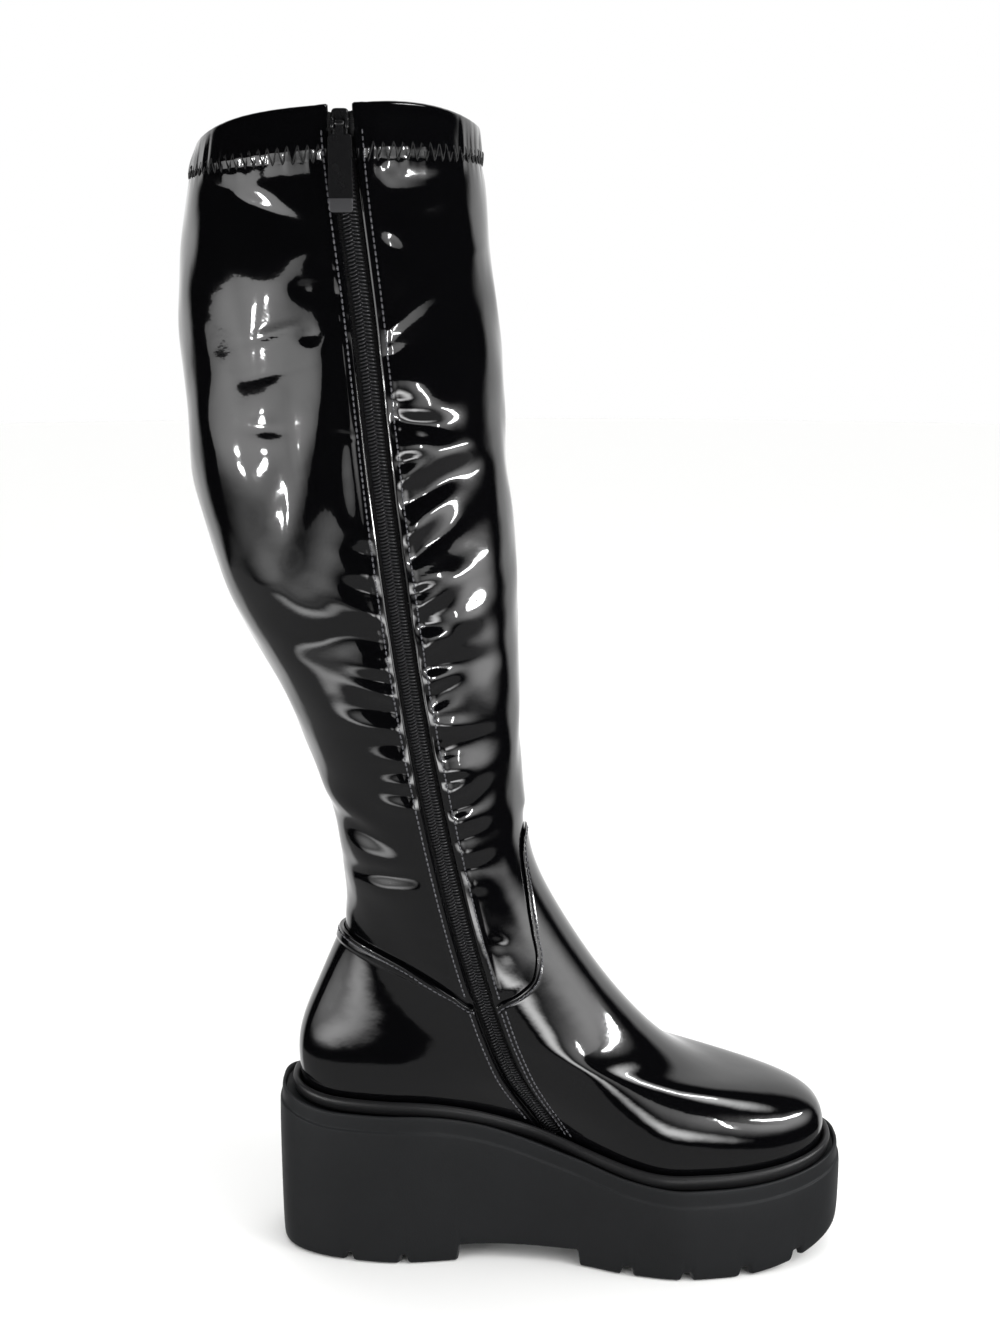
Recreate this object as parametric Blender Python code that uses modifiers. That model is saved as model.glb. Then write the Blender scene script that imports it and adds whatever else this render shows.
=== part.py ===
"""Platform boot for the left foot, in patent material on a moulded wedge sole, with a zip on its inner side.

Metres, +Z up, +X towards the toe, -Y the inner (medial) side with the zip. The origin is on the floor,
under the middle of the heel's tread. Sizes below are in millimetres and become metres where a mesh is made.
"""

from collections import namedtuple

import bmesh
import bpy
import numpy as np
from mathutils import Matrix, Vector

MM = 0.001
GAP = 0.3

# Sole: length and heights that set the last
SOLE_BACK = -46.0
SOLE_LENGTH = 272.5
SOLE_FRONT = SOLE_BACK + SOLE_LENGTH
HEEL_HEIGHT = 76.5
BALL_HEIGHT = 46.0
WEDGE_FROM, WEDGE_TO = 15.0, 147.0
TOE_LIFT, TOE_LIFT_FROM = 8.0, 165.0
HEEL_LIFT, HEEL_LIFT_FROM = 6.0, -15.0
TOE_SPRING, TOE_SPRING_FROM = 13.0, 170.0
TOE_SWING, SWING_FROM = 3.0, 0.55
SHELF_DROP = 2.5
SOLE_STATIONS = 30

# Upper: walls and overlays
WALL = 2.0
SEAT_GAP = 0.5
HEM_STEP = 0.8
HEM_BLEND = 0.1
OVERLAY = 1.0
OVERLAY_FOOT_LEVEL = 0.12
OVERLAY_TOP_RING = 14
COLLAR_BOW = 7.5

# Zip
SLIT_HALF = 4.8
SLIT_FOOT_RING = 1
TAPE_HALF = 9.5
TAPE_DEPTH = WALL + 0.7
TAPE_THICK = 0.7
TAPE_TOP_Z = 521.5
COIL_FOOT_LEVEL = 1.2
COIL_HALF = 3.2
COIL_THICK = 2.2
SLIDER_WIDTH, SLIDER_LENGTH, SLIDER_DEPTH = 7.4, 12.0, 4.0
SLIDER_ROUND = 1.2
SLIDER_Z = 516.5
EAR_WIDTH, EAR_LENGTH, EAR_HEIGHT = 1.6, 4.4, 3.4
EAR_ROUND, EAR_ROOT = 0.4, 0.8
PULL_WIDTH, PULL_LENGTH, PULL_THICK = 9.6, 30.0, 1.6
PULL_ROUND, PULL_DROP = 0.6, 4.0
NECK_WIDTH, NECK_LENGTH, NECK_ROUND = 3.2, 7.0, 0.2
BARREL_RADIUS, BARREL_LENGTH = 1.2, 3.6

# Half widths of the sole along its length, before its ends are rounded
Plan = namedtuple("Plan", "share medial lateral")
SOLE_PLAN = (
    Plan(0.00, 38.5, 38.5),
    Plan(0.18, 38.0, 38.0),
    Plan(0.38, 31.5, 34.5),
    Plan(0.52, 36.0, 40.5),
    Plan(0.62, 45.0, 47.0),
    Plan(0.73, 50.5, 48.5),
    Plan(1.00, 50.0, 46.0),
)
SOLE_ROUND_BACK, SOLE_ROUND_FRONT = 3.0, 2.5

# Side of the sole from the tread's edge up to the shelf: how far in from the outline, and the height
# either above the tread (share 0) or below the lip (share 1)
Level = namedtuple("Level", "inset share height")
SOLE_SIDE = (
    Level(2.4, 0.0, 0.0),
    Level(0.9, 0.0, 1.2),
    Level(0.2, 0.0, 4.5),
    Level(0.0, 0.5, 0.0),
    Level(0.5, 1.0, -8.0),
    Level(1.3, 1.0, -7.2),
    Level(1.5, 1.0, -1.0),
    Level(2.2, 1.0, 0.0),
    Level(3.0, 1.0, 0.0),
    Level(3.4, 1.0, -SHELF_DROP),
)

# Cuts across the tread: the arch and the grooves between the cleats
Cut = namedtuple("Cut", "middle width depth")
TREAD_CUTS = (
    Cut(-12.5, 6.0, 4.0),
    Cut(14.0, 6.0, 4.0),
    Cut(69.5, 60.0, 8.0),
    Cut(121.5, 7.0, 4.0),
    Cut(149.5, 7.0, 4.0),
    Cut(177.5, 7.0, 4.5),
    Cut(203.0, 6.5, 4.5),
)
CUT_TAPER = 1.5

# Rings of the upper from the feather line to the collar. Each is a closed outline through a back and a
# front point, with half widths at heel, waist and ball, roundness of its ends, and how far it follows the
# sole's top
Ring = namedtuple("Ring", "back_x back_z front_x front_z heel waist ball round_back round_front follow")
UPPER_RINGS = (
    Ring(-32.8, 76.9, 214.5, 49.2, 26.3, 21.8, 38.0, 2.9, 2.5, 1.0),
    Ring(-34.8, 90.0, 217.0, 61.5, 29.0, 24.0, 39.3, 2.8, 2.5, 1.0),
    Ring(-35.2, 101.0, 215.8, 68.8, 30.0, 28.0, 40.2, 2.7, 2.4, 0.9),
    Ring(-33.5, 110.5, 211.5, 74.0, 29.5, 30.2, 39.5, 2.6, 2.3, 0.8),
    Ring(-30.3, 119.5, 202.5, 79.3, 29.0, 30.8, 37.6, 2.5, 2.2, 0.65),
    Ring(-27.0, 127.0, 187.0, 83.6, 28.5, 30.8, 35.8, 2.4, 2.1, 0.5),
    Ring(-24.0, 134.0, 164.0, 86.4, 28.0, 30.5, 34.8, 2.3, 2.05, 0.35),
    Ring(-21.0, 141.0, 145.0, 95.6, 27.8, 30.3, 33.6, 2.2, 2.0, 0.2),
    Ring(-18.0, 148.0, 129.0, 110.5, 28.0, 30.4, 32.8, 2.1, 2.0, 0.1),
    Ring(-14.5, 156.0, 113.0, 128.8, 29.0, 31.0, 32.3, 2.0, 2.0, 0.0),
    Ring(-11.0, 166.0, 98.0, 150.5, 30.0, 32.0, 32.3, 2.0, 2.0, 0.0),
    Ring(-10.5, 176.0, 84.0, 174.0, 31.5, 33.2, 32.5, 2.0, 2.0, 0.0),
    Ring(-12.5, 190.0, 73.5, 196.0, 33.5, 34.5, 33.0, 2.0, 2.0, 0.0),
    Ring(-14.5, 207.0, 72.2, 213.0, 35.5, 36.0, 34.5, 2.0, 2.0, 0.0),
    Ring(-18.0, 226.0, 70.5, 230.0, 37.0, 37.5, 36.0, 2.0, 2.0, 0.0),
    Ring(-24.5, 241.0, 71.5, 243.0, 38.5, 39.0, 37.5, 2.0, 2.0, 0.0),
    Ring(-35.5, 270.0, 70.0, 271.0, 41.0, 41.0, 40.0, 2.0, 2.0, 0.0),
    Ring(-50.0, 298.0, 70.3, 298.0, 44.0, 44.0, 43.0, 2.0, 2.0, 0.0),
    Ring(-64.5, 325.0, 68.5, 325.0, 47.0, 47.0, 46.0, 2.0, 2.0, 0.0),
    Ring(-71.0, 358.0, 65.8, 358.0, 49.0, 49.0, 48.5, 2.0, 2.0, 0.0),
    Ring(-78.3, 383.0, 64.5, 383.0, 50.0, 50.0, 50.0, 2.0, 2.0, 0.0),
    Ring(-78.0, 420.0, 63.2, 420.0, 50.5, 50.5, 50.5, 2.0, 2.0, 0.0),
    Ring(-79.0, 460.0, 58.0, 460.0, 51.5, 51.5, 51.5, 2.0, 2.0, 0.0),
    Ring(-74.0, 485.0, 55.0, 486.0, 52.5, 52.5, 52.5, 2.0, 2.0, 0.0),
    Ring(-71.5, 501.0, 53.0, 509.0, 53.0, 53.0, 53.0, 2.0, 2.0, 0.0),
    Ring(-67.5, 511.0, 51.0, 519.5, 53.0, 53.0, 53.0, 2.0, 2.0, 0.0),
)
CALF_LEVELS = (15.5, 16.5, 17.5, 18.5, 19.5)
WIDTH_SHARES = (0.18, 0.42, 0.70)
RING_SPREAD = 1.35
REAR_COLUMNS, OUTER_COLUMNS, FRONT_COLUMNS = 8, 20, 10

# Side view of the zip's middle line and of the free edges of vamp and counter
Mark = namedtuple("Mark", "x z")
ZIP_LINE = (
    Mark(100.0, 40.0),
    Mark(83.4, 67.0),
    Mark(65.6, 98.0),
    Mark(49.7, 146.0),
    Mark(34.4, 212.0),
    Mark(22.5, 282.0),
    Mark(13.5, 356.0),
    Mark(6.0, 437.0),
    Mark(-2.0, 530.0),
)
VAMP_EDGE = (
    Mark(150.0, 258.0),
    Mark(75.0, 216.0),
    Mark(71.0, 203.0),
    Mark(73.3, 183.0),
    Mark(76.0, 164.5),
    Mark(78.0, 153.0),
    Mark(76.5, 144.0),
    Mark(70.0, 138.0),
)
COUNTER_EDGE = (
    Mark(-80.0, 164.0),
    Mark(-14.0, 160.0),
    Mark(-2.0, 157.0),
    Mark(15.0, 150.5),
    Mark(29.0, 143.0),
    Mark(40.5, 136.0),
)
EDGE_JOIN_Z = 131.0
ZIP_EDGE = SLIT_HALF + 0.5
SIDE_SEAM = 0.4

# Bead of the welt: distance out from the overlays and height above the shelf
Bead = namedtuple("Bead", "out height")
WELT_BEAD = (
    Bead(0.0, 0.7),
    Bead(0.0, 5.0),
    Bead(0.7, 7.2),
    Bead(2.2, 8.0),
    Bead(3.7, 7.2),
    Bead(4.4, 5.2),
    Bead(4.2, 2.6),
    Bead(3.4, 0.7),
)
WELT_SEAT = GAP + OVERLAY + SEAT_GAP
FEATHER_RISE = 12.5
INSOLE_THICK = 3.0
INSOLE_GAP = 1.5

PATENT = ((0.006, 0.006, 0.007), 0.08, 0.0)
RUBBER = ((0.021, 0.022, 0.023), 0.6, 0.0)
BEAD_RUBBER = ((0.016, 0.016, 0.017), 0.45, 0.0)
LINING = ((0.02, 0.02, 0.02), 0.85, 0.0)
TAPE = ((0.008, 0.008, 0.008), 0.9, 0.0)
NYLON = ((0.012, 0.012, 0.012), 0.4, 0.0)
ENAMEL = ((0.01, 0.01, 0.011), 0.25, 0.4)


def smooth_step(share):
    """0 below 0, 1 above 1, and an S-curve between."""
    t = np.clip(share, 0.0, 1.0)
    return t * t * (3.0 - 2.0 * t)


def curve_through(points, values, at):
    """Smooth curve through the values that never overshoots them, and level beyond its ends."""
    points, values = np.asarray(points, float), np.asarray(values, float)
    at = np.clip(np.asarray(at, float), points[0], points[-1])
    run = np.diff(points)
    slope = np.diff(values) / run
    same_way = slope[1:] * slope[:-1] > 0.0
    both = np.where(same_way, slope[1:] + slope[:-1], 1.0)
    inner = np.where(same_way, 2.0 * slope[1:] * slope[:-1] / both, 0.0)
    tangent = np.concatenate([[0.0], inner, [0.0]])
    i = np.clip(np.searchsorted(points, at, side="right") - 1, 0, len(run) - 1)
    t = (at - points[i]) / run[i]
    rise = values[i + 1] - values[i]
    ease = t * t * (3.0 - 2.0 * t)
    start, end = t * (1.0 - t) ** 2, t * t * (t - 1.0)
    return values[i] + rise * ease + run[i] * (tangent[i] * start + tangent[i + 1] * end)


def shelf_height(x):
    """Height of the shelf that upper, insole and welt stand on: a wedge, curling up at toe and heel."""
    wedge = smooth_step((x - WEDGE_FROM) / (WEDGE_TO - WEDGE_FROM))
    toe = np.clip((x - TOE_LIFT_FROM) / (SOLE_FRONT - TOE_LIFT_FROM), 0.0, 1.0)
    heel = np.clip((x - HEEL_LIFT_FROM) / (SOLE_BACK - HEEL_LIFT_FROM), 0.0, 1.0)
    lip = HEEL_HEIGHT - (HEEL_HEIGHT - BALL_HEIGHT) * wedge + TOE_LIFT * toe**2 + HEEL_LIFT * heel**2
    return lip - SHELF_DROP


def tread_height(x):
    """Height of the tread: flat under heel and ball, rising to the toe."""
    rise = np.clip((x - TOE_SPRING_FROM) / (SOLE_FRONT - TOE_SPRING_FROM), 0.0, 1.0)
    return TOE_SPRING * rise**2


def end_round(share, round_back, round_front):
    """Superellipse from 0 at both ends of a length to 1 in its middle."""
    side = 2.0 * share - 1.0
    power = np.where(side < 0.0, round_back, round_front)
    return np.clip(1.0 - np.abs(side) ** power, 0.0, 1.0) ** (1.0 / power)


def swing(share):
    """The forepart's curve towards the inner side."""
    return -TOE_SWING * smooth_step((share - SWING_FROM) / (1.0 - SWING_FROM))


def plan_width(share, column):
    """Half width of the sole's outline at a share of its length, before its ends are rounded."""
    shares = [row.share for row in SOLE_PLAN]
    return curve_through(shares, [getattr(row, column) for row in SOLE_PLAN], share)


def sole_section(level):
    """Inner and outer edge points of the sole at one level of its side, from back to front."""
    share = (1.0 - np.cos(np.pi * np.linspace(0.0, 1.0, SOLE_STATIONS + 1))) / 2.0
    x = SOLE_BACK + level.inset + share * (SOLE_LENGTH - 2.0 * level.inset)
    ends = end_round(share, SOLE_ROUND_BACK, SOLE_ROUND_FRONT)
    tread, lip = tread_height(x), shelf_height(x) + SHELF_DROP
    z = tread + (lip - tread) * level.share + level.height
    middle = swing(share)
    inner = np.stack([x, middle - (plan_width(share, "medial") - level.inset) * ends, z], axis=1)
    outer = np.stack([x, middle + (plan_width(share, "lateral") - level.inset) * ends, z], axis=1)
    return inner, outer


def ring_row(level):
    """The ring table's columns at a level, along a smooth curve through its rows."""
    levels = np.arange(len(UPPER_RINGS))
    return Ring(*(float(curve_through(levels, column, level)) for column in zip(*UPPER_RINGS)))


def ring_points(level, turn):
    """Points of the upper's outer face. Turn 0 is the front, 0.25 the inner side, 0.5 the back."""
    ring = ring_row(level)
    angle = 2.0 * np.pi * np.asarray(turn, float)
    share = (1.0 + np.cos(angle)) / 2.0
    x = ring.back_x + (ring.front_x - ring.back_x) * share
    width = curve_through(WIDTH_SHARES, (ring.heel, ring.waist, ring.ball), share)
    width = width * end_round(share, ring.round_back, ring.round_front)
    sole_share = (x - SOLE_BACK) / SOLE_LENGTH
    lean = (plan_width(sole_share, "lateral") - plan_width(sole_share, "medial")) / 2.0 + swing(sole_share)
    y = lean * ring.follow - width * np.sign(np.sin(angle))
    straight = ring.back_z + (ring.front_z - ring.back_z) * share
    back_rise = ring.back_z - shelf_height(ring.back_x)
    front_rise = ring.front_z - shelf_height(ring.front_x)
    along_sole = shelf_height(x) + back_rise + (front_rise - back_rise) * share
    z = straight + (along_sole - straight) * ring.follow
    collar = max(0.0, level - (len(UPPER_RINGS) - 2))
    return np.stack([x, y, z + COLLAR_BOW * collar * 4.0 * share * (1.0 - share)], axis=-1)


def skin_points(level, turn, lift):
    """Points of the outer face moved out along its normal by lift."""
    turn = np.asarray(turn, float)
    step = 0.005
    top = len(UPPER_RINGS) - 1.0
    along = ring_points(level, turn + step) - ring_points(level, turn - step)
    up = ring_points(min(level + step, top), turn) - ring_points(max(level - step, 0.0), turn)
    normal = np.cross(up, along)
    normal /= np.linalg.norm(normal, axis=-1, keepdims=True)
    return ring_points(level, turn) + lift * normal


def zip_x(z):
    """Place of the zip's middle line along the boot at a height."""
    heights = [mark.z for mark in ZIP_LINE]
    return np.interp(z, heights, [mark.x for mark in ZIP_LINE])


def zip_turn(level, aside):
    """Turn at which a ring crosses the zip's line moved forward by aside."""
    turn = np.linspace(0.02, 0.48, 400)
    points = ring_points(level, turn)
    ahead = points[:, 0] - zip_x(points[:, 2]) - aside
    return float(np.interp(0.0, ahead[::-1], turn[::-1]))


def column_turns(level, slit):
    """Turns of a ring's columns, from the zip's rear edge round the back and the toe to its front edge."""
    rear, front = zip_turn(level, -slit), zip_turn(level, slit)
    spread = np.linspace(0.0, 1.0, OUTER_COLUMNS + 1)[1:-1]
    near, far = spread**RING_SPREAD, (1.0 - spread) ** RING_SPREAD
    outer = 0.5 + 0.5 * near / (near + far)
    back = 0.5 - (0.5 - rear) * np.linspace(1.0, 0.0, REAR_COLUMNS + 1) ** RING_SPREAD
    toe = 1.0 + front * np.linspace(0.0, 1.0, FRONT_COLUMNS + 1) ** RING_SPREAD
    return np.concatenate([back, outer, toe])


def mesh_object(name, points, faces, finish, collection):
    """A mesh object from points in millimetres."""
    mesh = bpy.data.meshes.new(name)
    mesh.from_pydata((np.asarray(points) * MM).tolist(), [], faces)
    obj = bpy.data.objects.new(name, mesh)
    collection.objects.link(obj)
    if finish is not None:
        mesh.materials.append(plain_material(name, *finish))
    return obj


def plain_material(name, colour, roughness, metallic):
    """A material of one colour, as a placeholder for the finish."""
    material = bpy.data.materials.new(name)
    material.use_nodes = True
    shader = material.node_tree.nodes["Principled BSDF"]
    shader.inputs["Base Color"].default_value = (*colour, 1.0)
    shader.inputs["Roughness"].default_value = roughness
    shader.inputs["Metallic"].default_value = metallic
    return material


def grid_faces(rows, columns, closed=False):
    """Triangles of a grid whose rows run up and columns run round, all split along the same diagonal."""
    faces = []
    for r in range(rows - 1):
        for c in range(columns if closed else columns - 1):
            d = (c + 1) % columns
            low, high = r * columns, (r + 1) * columns
            faces += [(low + c, high + c, high + d), (low + c, high + d, low + d)]
    return faces


def solidify(obj, thickness, outwards):
    """Give a skin a wall on one of its sides."""
    wall = obj.modifiers.new("wall", "SOLIDIFY")
    wall.thickness = thickness * MM
    wall.offset = 1.0 if outwards else -1.0
    wall.use_even_offset = True


def cut_by(obj, cutter):
    """Take the cutter's form out of an object."""
    cut = obj.modifiers.new("cut by " + cutter.name, "BOOLEAN")
    cut.operation = "DIFFERENCE"
    cut.object = cutter


def side_prism(name, outline, y_low, y_high, collection):
    """A cutter: an outline in side view, drawn out across the boot."""
    cutter = bpy.data.meshes.new(name)
    shape = bmesh.new()
    corners = [shape.verts.new((x * MM, y_low * MM, z * MM)) for x, z in outline]
    face = shape.faces.new(corners)
    drawn = bmesh.ops.extrude_face_region(shape, geom=[face])
    moved = [item for item in drawn["geom"] if isinstance(item, bmesh.types.BMVert)]
    bmesh.ops.translate(shape, verts=moved, vec=Vector((0.0, (y_high - y_low) * MM, 0.0)))
    bmesh.ops.recalc_face_normals(shape, faces=shape.faces)
    shape.to_mesh(cutter)
    shape.free()
    obj = bpy.data.objects.new(name, cutter)
    obj.hide_render = True
    obj.display_type = "WIRE"
    collection.objects.link(obj)
    return obj


def strip_solid(sections):
    """Points and faces of a solid whose levels are pairs of edges that run from back to front."""
    points, stations = [], len(sections[0][0])
    for inner, outer in sections:
        points.append(np.concatenate([inner, outer[-2:0:-1]]))
    round_count = len(points[0])
    faces = grid_faces(len(sections), round_count, closed=True)
    faces = [face[::-1] for face in faces]
    for level, turned in ((0, False), (len(sections) - 1, True)):
        start = level * round_count
        for i in range(stations - 1):
            a, b = start + i, start + i + 1
            c, d = start + (round_count - i - 1) % round_count, start + (round_count - i) % round_count
            corners = (a, d, c, b) if turned else (a, b, c, d)
            corners = tuple(dict.fromkeys(corners))
            faces.append(corners[::-1])
    return np.concatenate(points), faces


def make_sole(parts, cutters):
    """Wedge unit with its side profile, then the arch and the tread's grooves cut across it."""
    points, faces = strip_solid([sole_section(level) for level in SOLE_SIDE])
    sole = mesh_object("sole", points, faces, RUBBER, parts)
    reach = 70.0
    below = 5.0
    for number, cut in enumerate(TREAD_CUTS, 1):
        half = cut.width / 2.0
        top = tread_height(np.float64(cut.middle)) + cut.depth
        outline = (
            (cut.middle - half - CUT_TAPER, -below),
            (cut.middle + half + CUT_TAPER, -below),
            (cut.middle + half - CUT_TAPER, top),
            (cut.middle - half + CUT_TAPER, top),
        )
        cut_by(sole, side_prism(f"tread_cut_{number}", outline, -reach, reach, cutters))
    return sole


def make_welt(parts):
    """Bead carried round the foot on the shelf, outside the overlays."""
    rows = []
    for bead in WELT_BEAD:
        share = bead.height / FEATHER_RISE
        low = skin_points(0.0, column_turns(0.0, SLIT_HALF), WELT_SEAT + bead.out)
        high = skin_points(1.0, column_turns(1.0, SLIT_HALF), WELT_SEAT + bead.out)
        ring = low + (high - low) * share
        ring[:, 2] = shelf_height(ring[:, 0]) + bead.height
        rows.append(ring)
    columns = len(rows[0])
    faces = grid_faces(len(rows) + 1, columns, closed=True)
    count = len(rows) * columns
    faces = [tuple(i % count for i in face)[::-1] for face in faces]
    return mesh_object("welt", np.concatenate(rows), faces, BEAD_RUBBER, parts)


def make_insole(parts):
    """Board on the shelf, just inside the upper's wall."""
    angle = np.pi * np.linspace(1.0, 0.0, SOLE_STATIONS + 1)
    inner = skin_points(0.0, angle / (2.0 * np.pi), -(WALL + INSOLE_GAP))
    outer = skin_points(0.0, -angle / (2.0 * np.pi), -(WALL + INSOLE_GAP))
    outer[:, 0] = inner[:, 0]
    outer[[0, -1]] = inner[[0, -1]]
    sections = []
    for height in (SEAT_GAP, SEAT_GAP + INSOLE_THICK):
        low, high = inner.copy(), outer.copy()
        low[:, 2] = shelf_height(low[:, 0]) + height
        high[:, 2] = shelf_height(high[:, 0]) + height
        sections.append((low, high))
    points, faces = strip_solid(sections)
    return mesh_object("insole", points, faces, LINING, parts)


def upper_levels():
    """A level for each row of the table, more over the calf's curve, and two for the hem's step."""
    hem = len(UPPER_RINGS) - 2
    rows = [float(level) for level in range(hem + 1)]
    return sorted(rows + list(CALF_LEVELS)) + [hem + HEM_BLEND, hem + 0.5, hem + 1.0]


def make_upper(parts):
    """Hollow foot and shaft. The rings are open at the zip, apart from those below the slit's foot."""
    levels = upper_levels()
    hem = len(UPPER_RINGS) - 2
    rows = []
    for level in levels:
        lift = HEM_STEP if level > hem else 0.0
        rows.append(skin_points(level, column_turns(level, SLIT_HALF), lift))
    columns = len(rows[0])
    faces = grid_faces(len(rows), columns)
    for r in range(SLIT_FOOT_RING):
        low, high = r * columns, (r + 1) * columns
        faces += [(low + columns - 1, high + columns - 1, high), (low + columns - 1, high, low)]
    upper = mesh_object("upper", np.concatenate(rows), faces, PATENT, parts)
    solidify(upper, WALL, outwards=False)
    return upper


def edge_outline(edge, zip_aside, far):
    """Side view of all that lies beyond a panel's free edge and its edge along the zip."""
    foot, top, steps = 30.0, 300.0, 8
    curve = [(mark.x, mark.z) for mark in edge]
    curve += [(zip_x(z) + zip_aside, z) for z in np.linspace(EDGE_JOIN_Z, foot, steps)]
    return curve + [(far, foot), (far, top), (edge[0].x, top)]


def make_panel(name, edge, side, far, parts, cutters):
    """Overlay on the foot: a shell over the upper's own face, cut by the form beyond its edges."""
    rows = []
    for level in [OVERLAY_FOOT_LEVEL] + upper_levels()[1 : OVERLAY_TOP_RING + 1]:
        rows.append(skin_points(level, column_turns(level, SLIT_HALF), GAP))
    faces = grid_faces(len(rows), len(rows[0]), closed=True)
    panel = mesh_object(name, np.concatenate(rows), faces, PATENT, parts)
    solidify(panel, OVERLAY, outwards=True)
    reach, overlap = 90.0, 0.5
    inner = edge_outline(edge, side * ZIP_EDGE, far)
    outer = edge_outline(edge, side * SIDE_SEAM, far)
    cut_by(panel, side_prism(name + "_inner_side", inner, -reach, overlap, cutters))
    cut_by(panel, side_prism(name + "_outer_side", outer, -overlap, reach, cutters))
    return panel


def zip_levels(foot, top_z):
    """Ring levels from a foot level near the slit's foot to a height at the zip."""
    levels = [foot] + [level for level in upper_levels() if level > foot]
    heights = [float(ring_points(level, zip_turn(level, 0.0))[2]) for level in levels]
    kept = [level for level, z in zip(levels, heights) if z < top_z]
    return kept + [float(np.interp(top_z, heights, levels))]


def make_zip_tape(parts):
    """Woven tape behind the slit, with a row at the coil's foot so that the coil lies on it there."""
    rows = []
    for level in sorted(zip_levels(SLIT_FOOT_RING, TAPE_TOP_Z) + [COIL_FOOT_LEVEL]):
        asides = (-TAPE_HALF, -SLIT_HALF, 0.0, SLIT_HALF, TAPE_HALF)
        turn = [zip_turn(level, aside) for aside in asides[::-1]]
        rows.append(skin_points(level, np.array(turn), -TAPE_DEPTH))
    tape = mesh_object("zip_tape", np.concatenate(rows), grid_faces(len(rows), len(rows[0])), TAPE, parts)
    solidify(tape, TAPE_THICK, outwards=False)
    return tape


def make_zip_coil(parts):
    """Closed chain of coils on the tape, up to the slider."""
    rows = []
    for level in zip_levels(COIL_FOOT_LEVEL, SLIDER_Z - SLIDER_LENGTH / 2.0 - GAP):
        turn = [zip_turn(level, aside) for aside in (COIL_HALF, 0.0, -COIL_HALF)]
        rows.append(skin_points(level, np.array(turn), GAP - TAPE_DEPTH))
    coil = mesh_object("zip_coil", np.concatenate(rows), grid_faces(len(rows), len(rows[0])), NYLON, parts)
    solidify(coil, COIL_THICK, outwards=True)
    return coil


def shape_object(name, shape, centre, finish, collection):
    """An object of a form drawn in millimetres about its own middle, with its origin at that middle."""
    bmesh.ops.scale(shape, verts=shape.verts, vec=Vector((MM, MM, MM)))
    mesh = bpy.data.meshes.new(name)
    shape.to_mesh(mesh)
    shape.free()
    if finish is not None:
        mesh.materials.append(plain_material(name, *finish))
    obj = bpy.data.objects.new(name, mesh)
    obj.location = Vector(centre) * MM
    collection.objects.link(obj)
    return obj


def bevelled_box(size, radius, middle=(0.0, 0.0, 0.0)):
    """A box with its edges rounded, about a middle."""
    shape = bmesh.new()
    made = bmesh.ops.create_cube(shape, size=1.0)
    bmesh.ops.scale(shape, verts=made["verts"], vec=Vector(size))
    bmesh.ops.bevel(shape, geom=shape.edges[:], offset=radius, segments=2, profile=0.5, affect="EDGES")
    bmesh.ops.translate(shape, verts=shape.verts, vec=Vector(middle))
    return shape


def join_with(obj, other):
    """Make one solid of an object and another form that overlaps it."""
    joined = obj.modifiers.new("join " + other.name, "BOOLEAN")
    joined.operation = "UNION"
    joined.object = other
    other.hide_render = True
    other.display_type = "WIRE"


def slider_place():
    """Where the slider is: its place along the boot, its back on the tape, and its face."""
    level = zip_levels(SLIT_FOOT_RING, SLIDER_Z)[-1]
    seat = skin_points(level, np.array([zip_turn(level, 0.0)]), GAP - TAPE_DEPTH)[0]
    return float(seat[0]), float(seat[1]), float(seat[1]) - SLIDER_DEPTH


def make_slider(parts, cutters):
    """Slider body on the tape at the top of the chain, with two ears for the pull tab's barrel."""
    x, y_back, y_face = slider_place()
    body = bevelled_box((SLIDER_WIDTH, SLIDER_DEPTH, SLIDER_LENGTH), SLIDER_ROUND)
    slider = shape_object("zip_slider", body, (x, (y_back + y_face) / 2.0, SLIDER_Z), ENAMEL, parts)
    aside = BARREL_LENGTH / 2.0 + GAP + EAR_WIDTH / 2.0
    y_ear = y_face - EAR_HEIGHT / 2.0 + EAR_ROOT
    for side, word in ((-1.0, "rear"), (1.0, "front")):
        ear = bevelled_box((EAR_WIDTH, EAR_HEIGHT, EAR_LENGTH), EAR_ROUND)
        place = (x + side * aside, y_ear, SLIDER_Z)
        join_with(slider, shape_object(f"slider_ear_{word}", ear, place, None, cutters))
    return slider


def make_pull(parts, cutters):
    """Tab that hangs from a barrel between the slider's ears. Its origin is on the hinge."""
    x, _, y_face = slider_place()
    hinge = (x, y_face - BARREL_RADIUS - GAP, SLIDER_Z)
    tab_middle = (0.0, 0.0, -PULL_DROP - PULL_LENGTH / 2.0)
    tab = bevelled_box((PULL_WIDTH, PULL_THICK, PULL_LENGTH), PULL_ROUND, tab_middle)
    pull = shape_object("zip_pull", tab, hinge, ENAMEL, parts)
    neck_middle = (0.0, 0.0, -NECK_LENGTH / 2.0)
    neck = bevelled_box((NECK_WIDTH, PULL_THICK, NECK_LENGTH), NECK_ROUND, neck_middle)
    join_with(pull, shape_object("pull_neck", neck, hinge, None, cutters))
    barrel = bmesh.new()
    bmesh.ops.create_cone(
        barrel, cap_ends=True, segments=12, radius1=BARREL_RADIUS, radius2=BARREL_RADIUS, depth=BARREL_LENGTH
    )
    across = Matrix.Rotation(np.pi / 2.0, 3, "Y")
    bmesh.ops.rotate(barrel, verts=barrel.verts, cent=Vector(), matrix=across)
    join_with(pull, shape_object("pull_barrel", barrel, hinge, None, cutters))
    return pull


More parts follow.
